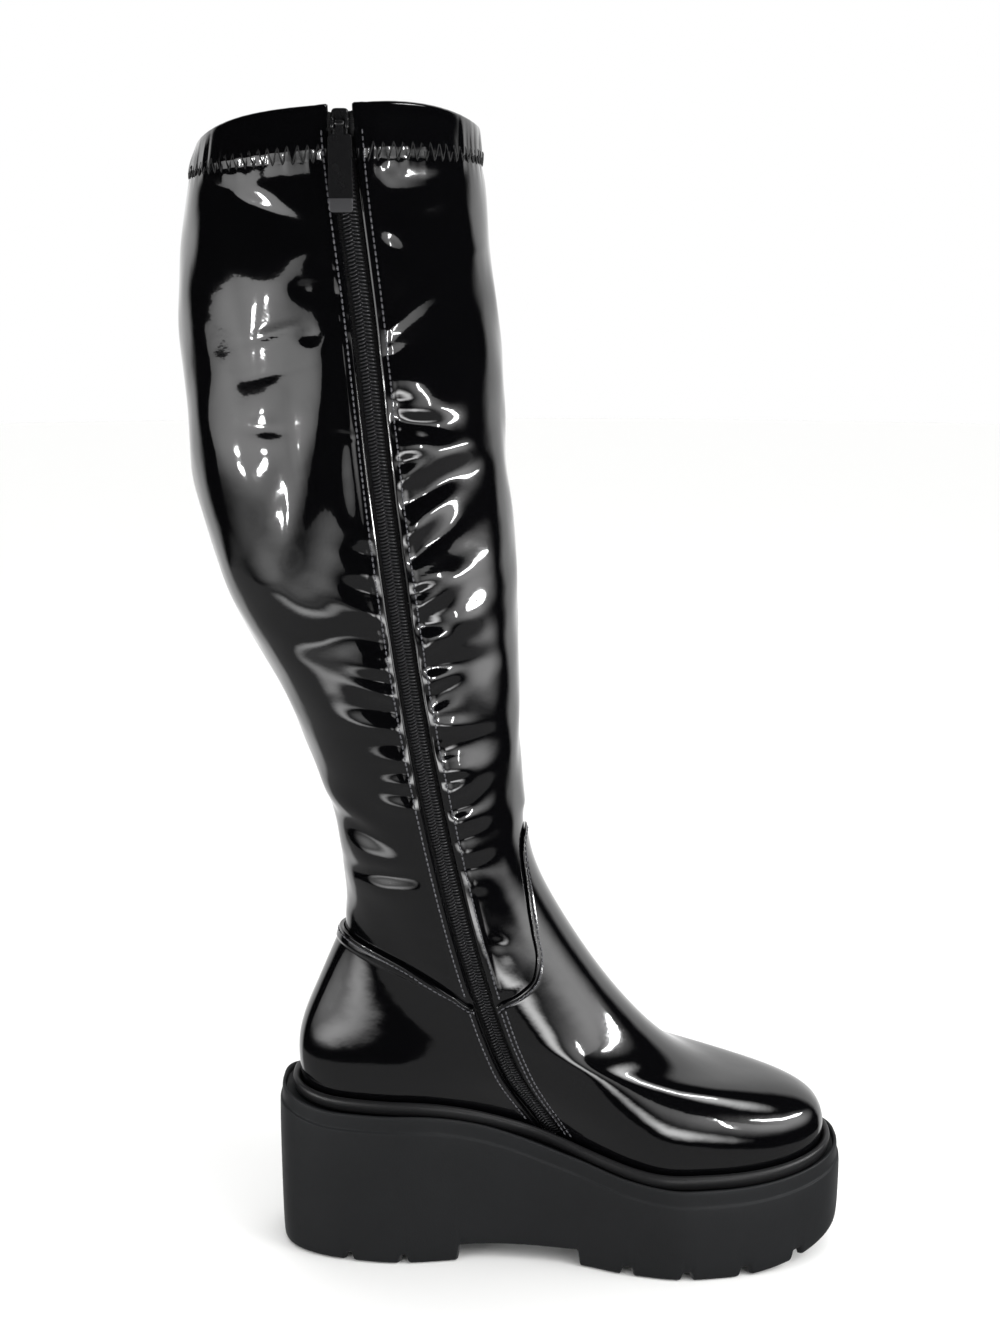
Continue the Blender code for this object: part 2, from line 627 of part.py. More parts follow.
def build():
    """Make every piece in an empty scene."""
    for obj in list(bpy.data.objects):
        bpy.data.objects.remove(obj, do_unlink=True)
    parts = bpy.data.collections.new("platform_boot")
    cutters = bpy.data.collections.new("cutters")
    bpy.context.scene.collection.children.link(parts)
    bpy.context.scene.collection.children.link(cutters)
    make_sole(parts, cutters)
    make_welt(parts)
    make_insole(parts)
    make_upper(parts)
    make_panel("vamp", VAMP_EDGE, 1.0, -200.0, parts, cutters)
    make_panel("counter", COUNTER_EDGE, -1.0, 300.0, parts, cutters)
    make_zip_tape(parts)
    make_zip_coil(parts)
    make_slider(parts, cutters)
    make_pull(parts, cutters)


build()
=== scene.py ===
"""Looks of a black patent platform boot for the left foot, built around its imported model.

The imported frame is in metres: +X towards the toe, +Z up, -Y the inner side with the zip. Sizes below are in
millimetres and become metres where a mesh is made.
"""

from collections import namedtuple

import bmesh
import bpy
import numpy as np
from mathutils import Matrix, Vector


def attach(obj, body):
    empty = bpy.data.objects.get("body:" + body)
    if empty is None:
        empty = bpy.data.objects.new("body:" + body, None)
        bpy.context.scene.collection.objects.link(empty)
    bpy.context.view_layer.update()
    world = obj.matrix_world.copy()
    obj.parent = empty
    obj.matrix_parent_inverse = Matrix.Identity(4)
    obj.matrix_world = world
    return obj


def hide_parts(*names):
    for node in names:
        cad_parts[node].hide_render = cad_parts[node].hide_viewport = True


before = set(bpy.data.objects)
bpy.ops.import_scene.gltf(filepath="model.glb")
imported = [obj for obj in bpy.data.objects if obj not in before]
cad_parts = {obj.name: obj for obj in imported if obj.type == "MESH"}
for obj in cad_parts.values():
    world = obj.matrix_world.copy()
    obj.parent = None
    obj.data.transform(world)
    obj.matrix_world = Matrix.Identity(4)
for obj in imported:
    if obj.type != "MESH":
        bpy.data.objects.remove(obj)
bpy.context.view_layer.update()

scene = bpy.context.scene
MM = 0.001

# Studio
# The view of the photograph. White paper is under and behind the boot, and the room in front is dark. Six
# soft lamps shape the gloss: boxes left, right and high, cards at toe, heel and front. Sizes are in metres.
CAMERA_PLACE = (0.061, -0.700, 0.445)
CAMERA_DIP = np.radians(12.78)
CAMERA_LENS = 42.33
CAMERA_NEAR = 0.01
LAMP_AIM = Vector((0.03, 0.0, 0.30))
Tube = namedtuple("Tube", "across up width height")
OVAL_TUBES = tuple(Tube(across, up, 0.080, 0.055) for up in (0.132, 0.048) for across in (-0.100, 0.100))
UPRIGHT_TUBE = (Tube(0.0, 0.170, 0.040, 0.160),)
LEVEL_TUBE = (Tube(0.0, 0.060, 0.380, 0.030),)
TUBE_WATTS, TUBE_AHEAD = 136.0, 0.01
# A lamp's cloth is brightest at one share of its height, and dark from a share of its size away
Lamp = namedtuple("Lamp", "place size watts glow_up fade tubes")
LAMPS = {
    "left": Lamp((-0.83, -0.62, 0.12), (1.40, 0.58), 3.6, 0.80, 0.82, OVAL_TUBES),
    "right": Lamp((0.64, -0.82, 0.14), (1.15, 0.54), 1.9, 0.80, 0.58, UPRIGHT_TUBE),
    "toe": Lamp((0.58, -0.22, 0.24), (0.75, 0.34), 1.3, 0.50, 0.52, LEVEL_TUBE),
    "heel": Lamp((-0.33, -0.33, 0.055), (0.60, 0.12), 0.36, 0.50, 0.52, ()),
    "front": Lamp((0.32, -0.95, -0.05), (0.80, 0.30), 3.2, 0.50, 0.52, ()),
    "high": Lamp((1.00, -0.55, 1.25), (0.90, 0.70), 8.0, 0.50, 0.52, LEVEL_TUBE),
}
GLOW_CORE, GLOW_GAIN = 0.02, 1.9
CEILING_STRENGTH, CEILING_SPREAD = 2.7, np.radians(110.0)
# What gloss mirrors of the room: white paper towards +Y, and the dimmer floor below
Backdrop = namedtuple("Backdrop", "axis start end dark bright")
BACKDROPS = (Backdrop("Y", 0.30, 0.52, 0.004, 1.0), Backdrop("Z", -0.34, -0.38, 0.0, 0.26))


def linear(code):
    """An sRGB hex colour as linear light: a channel c becomes c/12.92 near black, and ((c+0.055)/1.055)^2.4
    above that."""
    channel = np.array([int(code[i : i + 2], 16) for i in (1, 3, 5)]) / 255.0
    light = np.where(channel <= 0.04045, channel / 12.92, ((channel + 0.055) / 1.055) ** 2.4)
    return (*light.tolist(), 1.0)


def add_node(tree, kind, settings, links):
    """Add a node, set its own fields or its input sockets, and link sockets from other nodes' outputs."""
    node = tree.nodes.new("ShaderNode" + kind)
    for name, value in settings.items():
        if isinstance(name, str) and hasattr(node, name):
            setattr(node, name, value)
        else:
            node.inputs[name].default_value = value
    for name, output in links.items():
        tree.links.new(output, node.inputs[name])
    return node


def add_lamp(name, place, size, shape, watts):
    """An area lamp that faces the boot and that the camera doesn't see."""
    light = bpy.data.lights.new(name, "AREA")
    light.shape = shape
    light.size, light.size_y = size
    light.energy = watts
    lamp = bpy.data.objects.new(name, light)
    lamp.location = place
    lamp.rotation_euler = (LAMP_AIM - Vector(place)).to_track_quat("-Z", "Y").to_euler()
    lamp.visible_camera = False
    scene.collection.objects.link(lamp)
    return lamp


camera = bpy.data.objects.new("camera", bpy.data.cameras.new("camera"))
camera.location = CAMERA_PLACE
camera.rotation_euler = (np.pi / 2.0 - CAMERA_DIP, 0.0, 0.0)
camera.data.lens = CAMERA_LENS
camera.data.clip_start = CAMERA_NEAR
scene.collection.objects.link(camera)
scene.camera = camera
scene.view_settings.view_transform = "Standard"

scene.world = bpy.data.worlds.new("studio")
scene.world.use_nodes = True
tree = scene.world.node_tree
tree.nodes.clear()
direction = add_node(tree, "TexCoord", {}, {}).outputs["Generated"]
split = add_node(tree, "SeparateXYZ", {}, {"Vector": direction})
shown = add_node(tree, "LightPath", {}, {}).outputs["Is Camera Ray"]
for row in BACKDROPS:
    ramp = {"From Min": row.start, "From Max": row.end, "To Min": row.dark, "To Max": row.bright}
    ramp["interpolation_type"] = "SMOOTHSTEP"
    part = add_node(tree, "MapRange", ramp, {"Value": split.outputs[row.axis]}).outputs["Result"]
    shown = add_node(tree, "Math", {"operation": "MAXIMUM"}, {0: shown, 1: part}).outputs["Value"]
background = add_node(tree, "Background", {"Color": linear("#ffffff")}, {"Strength": shown})
add_node(tree, "OutputWorld", {}, {"Surface": background.outputs["Background"]})

for name, lamp in LAMPS.items():
    box = add_lamp(f"lamp_box_{name}", lamp.place, lamp.size, "RECTANGLE", lamp.watts)
    box.data.use_nodes = True
    tree = box.data.node_tree
    cloth = add_node(tree, "NewGeometry", {}, {}).outputs["Parametric"]
    from_glow = {"operation": "DISTANCE", 1: (0.5, lamp.glow_up, 0.0)}
    off = add_node(tree, "VectorMath", from_glow, {0: cloth}).outputs["Value"]
    fall = {"From Min": GLOW_CORE, "From Max": lamp.fade, "To Min": GLOW_GAIN, "To Max": 0.0}
    fall["interpolation_type"] = "SMOOTHSTEP"
    glow = add_node(tree, "MapRange", fall, {"Value": off})
    tree.links.new(glow.outputs["Result"], tree.nodes["Emission"].inputs["Strength"])
    turned = box.rotation_euler.to_matrix()
    for number, tube in enumerate(lamp.tubes, 1):
        tube_place = Vector(lamp.place) + turned @ Vector((tube.across, tube.up, -TUBE_AHEAD))
        tube_watts = TUBE_WATTS * tube.width * tube.height
        add_lamp(f"lamp_tube_{name}_{number}", tube_place, (tube.width, tube.height), "ELLIPSE", tube_watts)
sun = bpy.data.objects.new("ceiling", bpy.data.lights.new("ceiling", "SUN"))
sun.data.energy = CEILING_STRENGTH
sun.data.angle = CEILING_SPREAD
sun.visible_glossy = False
scene.collection.objects.link(sun)

# White paper
# A wide sheet of matte coated paper on the studio's floor, which goes to pure white under the lamps. The
# gloss mirrors the backdrop in its place.
FLOOR_RINGS, FLOOR_SIDES, FLOOR_DROP = (0.0, 300.0, 1000.0, 6000.0), 64, 0.05
DOUBLES = 1e-6
Patch = namedtuple("Patch", "size detail low high")
Grain = namedtuple("Grain", "size detail depth strength")


def new_material(name, sockets, patches=(), grains=()):
    """A Principled material with plain socket values. Noise on Object coordinates, with lumps of a patch's
    size in millimetres, varies the roughness from low to high. Each grain bumps the surface by noise on top
    of the grain before it, to a depth in millimetres. Returns material, tree, shader and coordinates."""
    material = bpy.data.materials.new(name)
    material.use_nodes = True
    tree = material.node_tree
    shader = tree.nodes["Principled BSDF"]
    for socket, value in sockets.items():
        shader.inputs[socket].default_value = value
    place = add_node(tree, "TexCoord", {}, {}).outputs["Object"]
    for patch in patches:
        lumps = {"Scale": 1.0 / (patch.size * MM), "Detail": patch.detail}
        noise = add_node(tree, "TexNoise", lumps, {"Vector": place}).outputs["Fac"]
        gloss = add_node(tree, "MapRange", {"To Min": patch.low, "To Max": patch.high}, {"Value": noise})
        tree.links.new(gloss.outputs["Result"], shader.inputs["Roughness"])
    relief = {}
    for grain in grains:
        lumps = {"Scale": 1.0 / (grain.size * MM), "Detail": grain.detail}
        noise = add_node(tree, "TexNoise", lumps, {"Vector": place}).outputs["Fac"]
        height = {"Strength": grain.strength, "Distance": grain.depth * MM}
        relief = {"Normal": add_node(tree, "Bump", height, {"Height": noise, **relief}).outputs["Normal"]}
    for socket, output in relief.items():
        tree.links.new(output, shader.inputs[socket])
    return material, tree, shader, place


def make_piece(name, points, faces, materials, sharp=None, finish=None):
    """A smooth-shaded mesh object at the origin, from points in millimetres, with doubles merged and faces
    turned outwards. Edges that bend by more than sharp degrees stay crisp. Finish is each face's material."""
    mesh = bpy.data.meshes.new(name)
    mesh.from_pydata((np.asarray(points).reshape(-1, 3) * MM).tolist(), [], faces)
    if finish is not None:
        mesh.polygons.foreach_set("material_index", np.asarray(finish, dtype=np.int32))
    shape = bmesh.new()
    shape.from_mesh(mesh)
    bmesh.ops.remove_doubles(shape, verts=shape.verts, dist=DOUBLES)
    bmesh.ops.recalc_face_normals(shape, faces=shape.faces)
    shape.to_mesh(mesh)
    shape.free()
    mesh.shade_smooth()
    if sharp is not None:
        mesh.set_sharp_from_angle(angle=np.radians(sharp))
    for material in materials:
        mesh.materials.append(material)
    obj = bpy.data.objects.new(name, mesh)
    scene.collection.objects.link(obj)
    return obj


def grid_faces(rows, columns, close_rows=False, close_columns=False, start=0):
    """Quads of a grid of points in row order, wrapped round in either direction."""
    row_steps = np.arange(rows if close_rows else rows - 1)
    column_steps = np.arange(columns if close_columns else columns - 1)
    r, c = np.meshgrid(row_steps, column_steps, indexing="ij")
    r_next, c_next = (r + 1) % rows, (c + 1) % columns
    corners = (r * columns + c, r_next * columns + c, r_next * columns + c_next, r * columns + c_next)
    return (np.stack(corners, axis=-1).reshape(-1, 4) + start).tolist()


# Coated paper: matte and even, with hardly any sheen
paper_white, *_ = new_material(
    "matte_paper", {"Base Color": linear("#f4f4f3"), "Roughness": 0.9}, [Patch(300.0, 1.0, 0.86, 0.94)]
)
around = np.linspace(0.0, 2.0 * np.pi, FLOOR_SIDES, endpoint=False)
reach = np.array(FLOOR_RINGS)[:, None]
floor_z = np.full((len(FLOOR_RINGS), FLOOR_SIDES), -FLOOR_DROP)
disc = np.stack([reach * np.cos(around), reach * np.sin(around), floor_z], axis=-1)
floor = make_piece("floor", disc, grid_faces(*disc.shape[:2], close_columns=True), [paper_white])
floor.visible_glossy = False

# Sole
# One unit of moulded rubber foam: a wedge with a lip round its top, a fine step under the lip, an arch and
# cleats across the tread. It is cemented to the lasted upper.
SOLE_BACK, SOLE_LENGTH = -46.0, 272.5
SOLE_FRONT = SOLE_BACK + SOLE_LENGTH
HEEL_HEIGHT, BALL_HEIGHT = 76.5, 46.0
WEDGE_FROM, WEDGE_TO = 15.0, 147.0
TOE_LIFT, TOE_LIFT_FROM = 8.0, 165.0
HEEL_LIFT, HEEL_LIFT_FROM = 6.0, -15.0
TOE_SPRING, TOE_SPRING_FROM = 13.0, 170.0
TOE_SWING, SWING_FROM = 3.0, 0.55
SHELF_DROP = 2.5
SOLE_ROUND_BACK, SOLE_ROUND_FRONT = 3.0, 2.5
SOLE_STATIONS, TREAD_STRIPS = 150, 8
FLOW_SIZE, FLOW_DETAIL = 38.0, 3.0
# Sockets of a Mix node that hold its two colours, and the one that gives the mixed colour
MIX_DARK, MIX_LIGHT, MIX_RESULT = 6, 7, 2

Plan = namedtuple("Plan", "share medial lateral")
SOLE_PLAN = (
    Plan(0.00, 38.5, 38.5),
    Plan(0.18, 38.0, 38.0),
    Plan(0.38, 31.5, 34.5),
    Plan(0.52, 36.0, 40.5),
    Plan(0.62, 45.0, 47.0),
    Plan(0.73, 50.5, 48.5),
    Plan(1.00, 50.0, 46.0),
)
# Side from the tread's edge up to the shelf: distance in from the outline, and height above the tread
# (share 0) or below the lip (share 1)
Level = namedtuple("Level", "inset share height")
SOLE_SIDE = (
    Level(3.4, 0.0, 0.0),
    Level(1.2, 0.0, 0.4),
    Level(0.3, 0.0, 3.0),
    Level(0.0, 0.3, 0.0),
    Level(0.0, 0.7, 0.0),
    Level(0.35, 1.0, -8.4),
    Level(0.5, 1.0, -7.9),
    Level(1.25, 1.0, -7.4),
    Level(1.4, 1.0, -6.6),
    Level(1.5, 1.0, -1.4),
    Level(1.8, 1.0, -0.2),
    Level(2.4, 1.0, 0.0),
    Level(3.0, 1.0, -0.1),
    Level(3.4, 1.0, -0.9),
    Level(3.5, 1.0, -SHELF_DROP),
)
Cut = namedtuple("Cut", "middle width depth")
TREAD_CUTS = (
    Cut(-12.5, 6.0, 4.0),
    Cut(14.0, 6.0, 4.0),
    Cut(69.5, 60.0, 8.0),
    Cut(121.5, 7.0, 4.0),
    Cut(149.5, 7.0, 4.0),
    Cut(177.5, 7.0, 4.5),
    Cut(203.0, 6.5, 4.5),
)
# Lip of a cut: distance out from its nominal edge and share of its depth
CUT_LIP = ((0.5, 0.0), (-0.1, 0.06), (-0.35, 0.2), (-1.25, 0.9), (-1.9, 1.0))


def smooth_step(share):
    """0 below 0, 1 above 1, and the cubic 3t^2 - 2t^3 between."""
    t = np.clip(share, 0.0, 1.0)
    return t * t * (3.0 - 2.0 * t)


def curve_through(points, values, at):
    """Piecewise cubic through the values that never overshoots: harmonic mean slopes, level at the ends."""
    points, values = np.asarray(points, float), np.asarray(values, float)
    at = np.clip(np.asarray(at, float), points[0], points[-1])
    run = np.diff(points)
    slope = np.diff(values) / run
    same_way = slope[1:] * slope[:-1] > 0.0
    both = np.where(same_way, slope[1:] + slope[:-1], 1.0)
    inner = np.where(same_way, 2.0 * slope[1:] * slope[:-1] / both, 0.0)
    tangent = np.concatenate([[0.0], inner, [0.0]])
    i = np.clip(np.searchsorted(points, at, side="right") - 1, 0, len(run) - 1)
    t = (at - points[i]) / run[i]
    start, end = t * (1.0 - t) ** 2, t * t * (t - 1.0)
    lift = run[i] * (tangent[i] * start + tangent[i + 1] * end)
    return values[i] + (values[i + 1] - values[i]) * smooth_step(t) + lift


def shelf_height(x):
    """Height of the shelf the upper stands on: an S-curve from heel to ball, curling up by squares at both
    ends."""
    wedge = smooth_step((x - WEDGE_FROM) / (WEDGE_TO - WEDGE_FROM))
    toe = np.clip((x - TOE_LIFT_FROM) / (SOLE_FRONT - TOE_LIFT_FROM), 0.0, 1.0)
    heel = np.clip((x - HEEL_LIFT_FROM) / (SOLE_BACK - HEEL_LIFT_FROM), 0.0, 1.0)
    lip = HEEL_HEIGHT - (HEEL_HEIGHT - BALL_HEIGHT) * wedge + TOE_LIFT * toe**2 + HEEL_LIFT * heel**2
    return lip - SHELF_DROP


def end_round(share, round_back, round_front):
    """Superellipse from 0 at both ends of a length to 1 in its middle: (1 - |2s - 1|^n)^(1/n)."""
    side = 2.0 * share - 1.0
    power = np.where(side < 0.0, round_back, round_front)
    return np.clip(1.0 - np.abs(side) ** power, 0.0, 1.0) ** (1.0 / power)


def swing(share):
    """The forepart's S-curve towards the inner side."""
    return -TOE_SWING * smooth_step((share - SWING_FROM) / (1.0 - SWING_FROM))


def plan_width(share, column):
    """Half width of the sole's outline at a share of its length, before its ends are rounded."""
    return curve_through([row.share for row in SOLE_PLAN], [getattr(row, column) for row in SOLE_PLAN], share)


def round_corners(rows, times):
    """Corner cutting: each inner corner of a polyline becomes two points, a quarter along its two edges."""
    rows = np.asarray(rows, float)
    for _ in range(times):
        early, late = 0.75 * rows[:-1] + 0.25 * rows[1:], 0.25 * rows[:-1] + 0.75 * rows[1:]
        cut = np.stack([early, late], axis=1).reshape(-1, rows.shape[1])
        rows = np.concatenate([rows[:1], cut, rows[-1:]])
    return rows


def tread_rise(x):
    """Height of the tread: flat, then rising by squares to the toe, plus each cut from the lip's table."""
    spring = TOE_SPRING * np.clip((x - TOE_SPRING_FROM) / (SOLE_FRONT - TOE_SPRING_FROM), 0.0, 1.0) ** 2
    for cut in TREAD_CUTS:
        out = np.abs(x - cut.middle) - cut.width / 2.0
        outs, shares = zip(*CUT_LIP[::-1])
        spring = spring + cut.depth * np.interp(out, outs, shares)
    return spring


def sole_grid():
    """Closed sections from heel to toe: along the tread, up the inner side, over the shelf and down the outer
    side. Stations follow a cosine, with more at the lips of the cuts."""
    spaced = (1.0 - np.cos(np.pi * np.linspace(0.0, 1.0, SOLE_STATIONS + 1))) / 2.0
    lips = [
        cut.middle + side * (cut.width / 2.0 + out)
        for cut in TREAD_CUTS
        for side in (-1, 1)
        for out, _ in CUT_LIP
    ]
    share = np.unique(np.concatenate([spaced, (np.array(lips) - SOLE_BACK) / SOLE_LENGTH]))[:, None]
    inset, part_up, height = round_corners(SOLE_SIDE, 2).T
    x = SOLE_BACK + inset + share * (SOLE_LENGTH - 2.0 * inset)
    along = SOLE_BACK + share * SOLE_LENGTH
    tread, lip = tread_rise(along), shelf_height(x) + SHELF_DROP
    z = tread + (lip - tread) * part_up + height
    ends = end_round(share, SOLE_ROUND_BACK, SOLE_ROUND_FRONT)
    inner = np.stack([x, swing(share) - (plan_width(share, "medial") - inset) * ends, z], axis=-1)
    outer = np.stack([x, swing(share) + (plan_width(share, "lateral") - inset) * ends, z], axis=-1)
    across = np.linspace(0.0, 1.0, TREAD_STRIPS + 1)[1:-1, None]
    under = outer[:, :1] + (inner[:, :1] - outer[:, :1]) * across
    over = inner[:, -1:] + (outer[:, -1:] - inner[:, -1:]) * across
    return np.concatenate([under, inner, over, outer[:, ::-1]], axis=1)


# Moulded rubber foam: charcoal black and matte, with the mould's fine spark-eroded grain and faint flow marks
rubber, tree, shader, place = new_material(
    "moulded_rubber",
    {"Base Color": linear("#18191b"), "Roughness": 0.6, "IOR": 1.5, "Specular IOR Level": 0.28},
    [Patch(9.0, 4.0, 0.5, 0.68)],
    [Grain(0.9, 2.0, 0.12, 0.5), Grain(14.0, 1.0, 0.4, 0.35)],
)
flow = add_node(tree, "TexNoise", {"Scale": 1.0 / (FLOW_SIZE * MM), "Detail": FLOW_DETAIL}, {"Vector": place})
charcoals = {"data_type": "RGBA", MIX_DARK: linear("#151617"), MIX_LIGHT: linear("#1b1c1e")}
tone = add_node(tree, "Mix", charcoals, {"Factor": flow.outputs["Fac"]})
tree.links.new(tone.outputs[MIX_RESULT], shader.inputs["Base Color"])

points = sole_grid()
faces = grid_faces(*points.shape[:2], close_columns=True)
sole = make_piece("sole_unit", points, faces, [rubber], sharp=40.0)
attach(sole, "boot")
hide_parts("sole")

# Insole
# A fibre board covered with black lining cloth, which lies on the sole inside the upper. It keeps its packed
# solid, and the same cloth lines the upper.
WEAVE_PITCH, WEAVE_DEPTH = 0.9, 0.3
FADED_SIZE, FADED_DETAIL = 12.0, 3.0
# A wave pattern is one wave long over 2 pi / 20 of its scaled coordinate
WAVE_LENGTH = np.pi / 10.0

# Woven lining: dull black cloth with crossing threads, a little faded in places
lining_cloth, tree, shader, place = new_material(
    "woven_lining", {"Base Color": linear("#1d1d1f"), "Roughness": 0.85}
)
threads = []
for way in ("DIAGONAL", "Z"):
    bands = {"bands_direction": way, "Scale": WAVE_LENGTH / (WEAVE_PITCH * MM), "Distortion": 0.6}
    threads.append(add_node(tree, "TexWave", bands, {"Vector": place}).outputs["Fac"])
woven = add_node(tree, "Math", {"operation": "MULTIPLY"}, {0: threads[0], 1: threads[1]})
height = {"Strength": 0.6, "Distance": WEAVE_DEPTH * MM}
relief = add_node(tree, "Bump", height, {"Height": woven.outputs["Value"]})
tree.links.new(relief.outputs["Normal"], shader.inputs["Normal"])
lumps = {"Scale": 1.0 / (FADED_SIZE * MM), "Detail": FADED_DETAIL}
faded = add_node(tree, "TexNoise", lumps, {"Vector": place})
blacks = {"data_type": "RGBA", MIX_DARK: linear("#171718"), MIX_LIGHT: linear("#242426")}
tone = add_node(tree, "Mix", blacks, {"Factor": faded.outputs["Fac"]})
tree.links.new(tone.outputs[MIX_RESULT], shader.inputs["Base Color"])
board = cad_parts["insole"]
board.data.materials.clear()
board.data.materials.append(lining_cloth)

# Upper
# One skin of black patent over the last: foot and shaft, lined with cloth. Its hem is turned in and sewn with
# a zig-zag, its edges along the zip are folded back, and the thin skin gathers there and dents all over.
WALL = 2.0
COLLAR_BOW = 7.5
SLIT_HALF = 4.8
SLIT_STEPS = (0.0, 0.3, 0.7, 1.2, 1.9, 2.8, 3.8, 4.8, 5.6, 6.2, 6.8, 7.6, 8.6, 10.0, 11.6, 13.4)
BACK_COLUMNS, OUTER_COLUMNS, FRONT_COLUMNS = 44, 58, 40
HIDDEN_LEVEL, HIDDEN_ROWS, SHOWN_ROWS = 6.4, 12, 312
ROWS_PER_LINING_ROW = 4
RIM_ROWS, RIM_HEIGHT, LINING_BELOW_RIM = 7, 0.8, 3

Ring = namedtuple("Ring", "back_x back_z front_x front_z heel waist ball round_back round_front follow")
UPPER_RINGS = (
    Ring(-32.8, 76.9, 214.5, 49.2, 26.3, 21.8, 38.0, 2.9, 2.5, 1.0),
    Ring(-34.8, 90.0, 217.0, 61.5, 29.0, 24.0, 39.3, 2.8, 2.5, 1.0),
    Ring(-35.2, 101.0, 215.8, 68.8, 30.0, 28.0, 40.2, 2.7, 2.4, 0.9),
    Ring(-33.5, 110.5, 211.5, 74.0, 29.5, 30.2, 39.5, 2.6, 2.3, 0.8),
    Ring(-30.3, 119.5, 202.5, 79.3, 29.0, 30.8, 37.6, 2.5, 2.2, 0.65),
    Ring(-27.0, 127.0, 187.0, 83.6, 28.5, 30.8, 35.8, 2.4, 2.1, 0.5),
    Ring(-24.0, 134.0, 164.0, 86.4, 28.0, 30.5, 34.8, 2.3, 2.05, 0.35),
    Ring(-21.0, 141.0, 145.0, 95.6, 27.8, 30.3, 33.6, 2.2, 2.0, 0.2),
    Ring(-18.0, 148.0, 129.0, 110.5, 28.0, 30.4, 32.8, 2.1, 2.0, 0.1),
    Ring(-14.5, 156.0, 113.0, 128.8, 29.0, 31.0, 32.3, 2.0, 2.0, 0.0),
    Ring(-11.0, 166.0, 98.0, 150.5, 30.0, 32.0, 32.3, 2.0, 2.0, 0.0),
    Ring(-10.5, 176.0, 84.0, 174.0, 31.5, 33.2, 32.5, 2.0, 2.0, 0.0),
    Ring(-12.5, 190.0, 73.5, 196.0, 33.5, 34.5, 33.0, 2.0, 2.0, 0.0),
    Ring(-14.5, 207.0, 72.2, 213.0, 35.5, 36.0, 34.5, 2.0, 2.0, 0.0),
    Ring(-18.0, 226.0, 70.5, 230.0, 37.0, 37.5, 36.0, 2.0, 2.0, 0.0),
    Ring(-24.5, 241.0, 71.5, 243.0, 38.5, 39.0, 37.5, 2.0, 2.0, 0.0),
    Ring(-35.5, 270.0, 70.0, 271.0, 41.0, 41.0, 40.0, 2.0, 2.0, 0.0),
    Ring(-50.0, 298.0, 70.3, 298.0, 44.0, 44.0, 43.0, 2.0, 2.0, 0.0),
    Ring(-64.5, 325.0, 68.5, 325.0, 47.0, 47.0, 46.0, 2.0, 2.0, 0.0),
    Ring(-71.0, 358.0, 65.8, 358.0, 49.0, 49.0, 48.5, 2.0, 2.0, 0.0),
    Ring(-78.3, 383.0, 64.5, 383.0, 50.0, 50.0, 50.0, 2.0, 2.0, 0.0),
    Ring(-78.0, 420.0, 63.2, 420.0, 50.5, 50.5, 50.5, 2.0, 2.0, 0.0),
    Ring(-79.0, 460.0, 58.0, 460.0, 51.5, 51.5, 51.5, 2.0, 2.0, 0.0),
    Ring(-74.0, 485.0, 55.0, 486.0, 52.5, 52.5, 52.5, 2.0, 2.0, 0.0),
    Ring(-71.5, 501.0, 53.0, 509.0, 53.0, 53.0, 53.0, 2.0, 2.0, 0.0),
    Ring(-67.5, 511.0, 51.0, 519.5, 53.0, 53.0, 53.0, 2.0, 2.0, 0.0),
)
TOP_LEVEL = len(UPPER_RINGS) - 1.0
WIDTH_SHARES = (0.18, 0.42, 0.70)
FINE_LEVELS = np.linspace(0.0, TOP_LEVEL, 1001)
BLUR_LEVELS = 0.6
SLOPE_STEP = 0.004
SIDE_TURNS = np.linspace(0.015, 0.485, 500)

Mark = namedtuple("Mark", "x z")
ZIP_LINE = (
    Mark(100.0, 40.0),
    Mark(83.4, 67.0),
    Mark(65.6, 98.0),
    Mark(49.7, 146.0),
    Mark(34.4, 212.0),
    Mark(22.5, 282.0),
    Mark(13.5, 356.0),
    Mark(6.0, 437.0),
    Mark(-2.0, 530.0),
)
VAMP_EDGE = (
    Mark(70.0, 138.0),
    Mark(76.5, 144.0),
    Mark(78.0, 153.0),
    Mark(76.0, 164.5),
    Mark(73.3, 183.0),
    Mark(71.0, 203.0),
    Mark(75.0, 216.0),
    Mark(150.0, 258.0),
)
COUNTER_EDGE = (
    Mark(-80.0, 164.0),
    Mark(-14.0, 160.0),
    Mark(-2.0, 157.0),
    Mark(15.0, 150.5),
    Mark(29.0, 143.0),
    Mark(40.5, 136.0),
)
EDGE_JOIN_Z = 131.0
ZIP_EDGE, SIDE_SEAM = SLIT_HALF + 0.5, 0.4


def blurred(values):
    """A column of the ring table on the fine levels, blurred by a bell so that gloss shows no kink, its ends
    held."""
    column = curve_through(np.arange(len(UPPER_RINGS)), values, FINE_LEVELS)
    reach = int(3.0 * BLUR_LEVELS / FINE_LEVELS[1])
    kernel = np.exp(-0.5 * (np.arange(-reach, reach + 1) * FINE_LEVELS[1] / BLUR_LEVELS) ** 2)
    before, after = 2.0 * column[0] - column[reach:0:-1], 2.0 * column[-1] - column[-2 : -reach - 2 : -1]
    return np.convolve(np.concatenate([before, column, after]), kernel / kernel.sum(), mode="valid")


FINE_RINGS = Ring(*(blurred(column) for column in zip(*UPPER_RINGS)))


def width_along(share, ring):
    """Half width along a ring: heel, waist and ball widths joined by S-curves."""
    first, second, third = WIDTH_SHARES
    to_waist = smooth_step((share - first) / (second - first))
    to_ball = smooth_step((share - second) / (third - second))
    return ring.heel + (ring.waist - ring.heel) * to_waist + (ring.ball - ring.waist) * to_ball


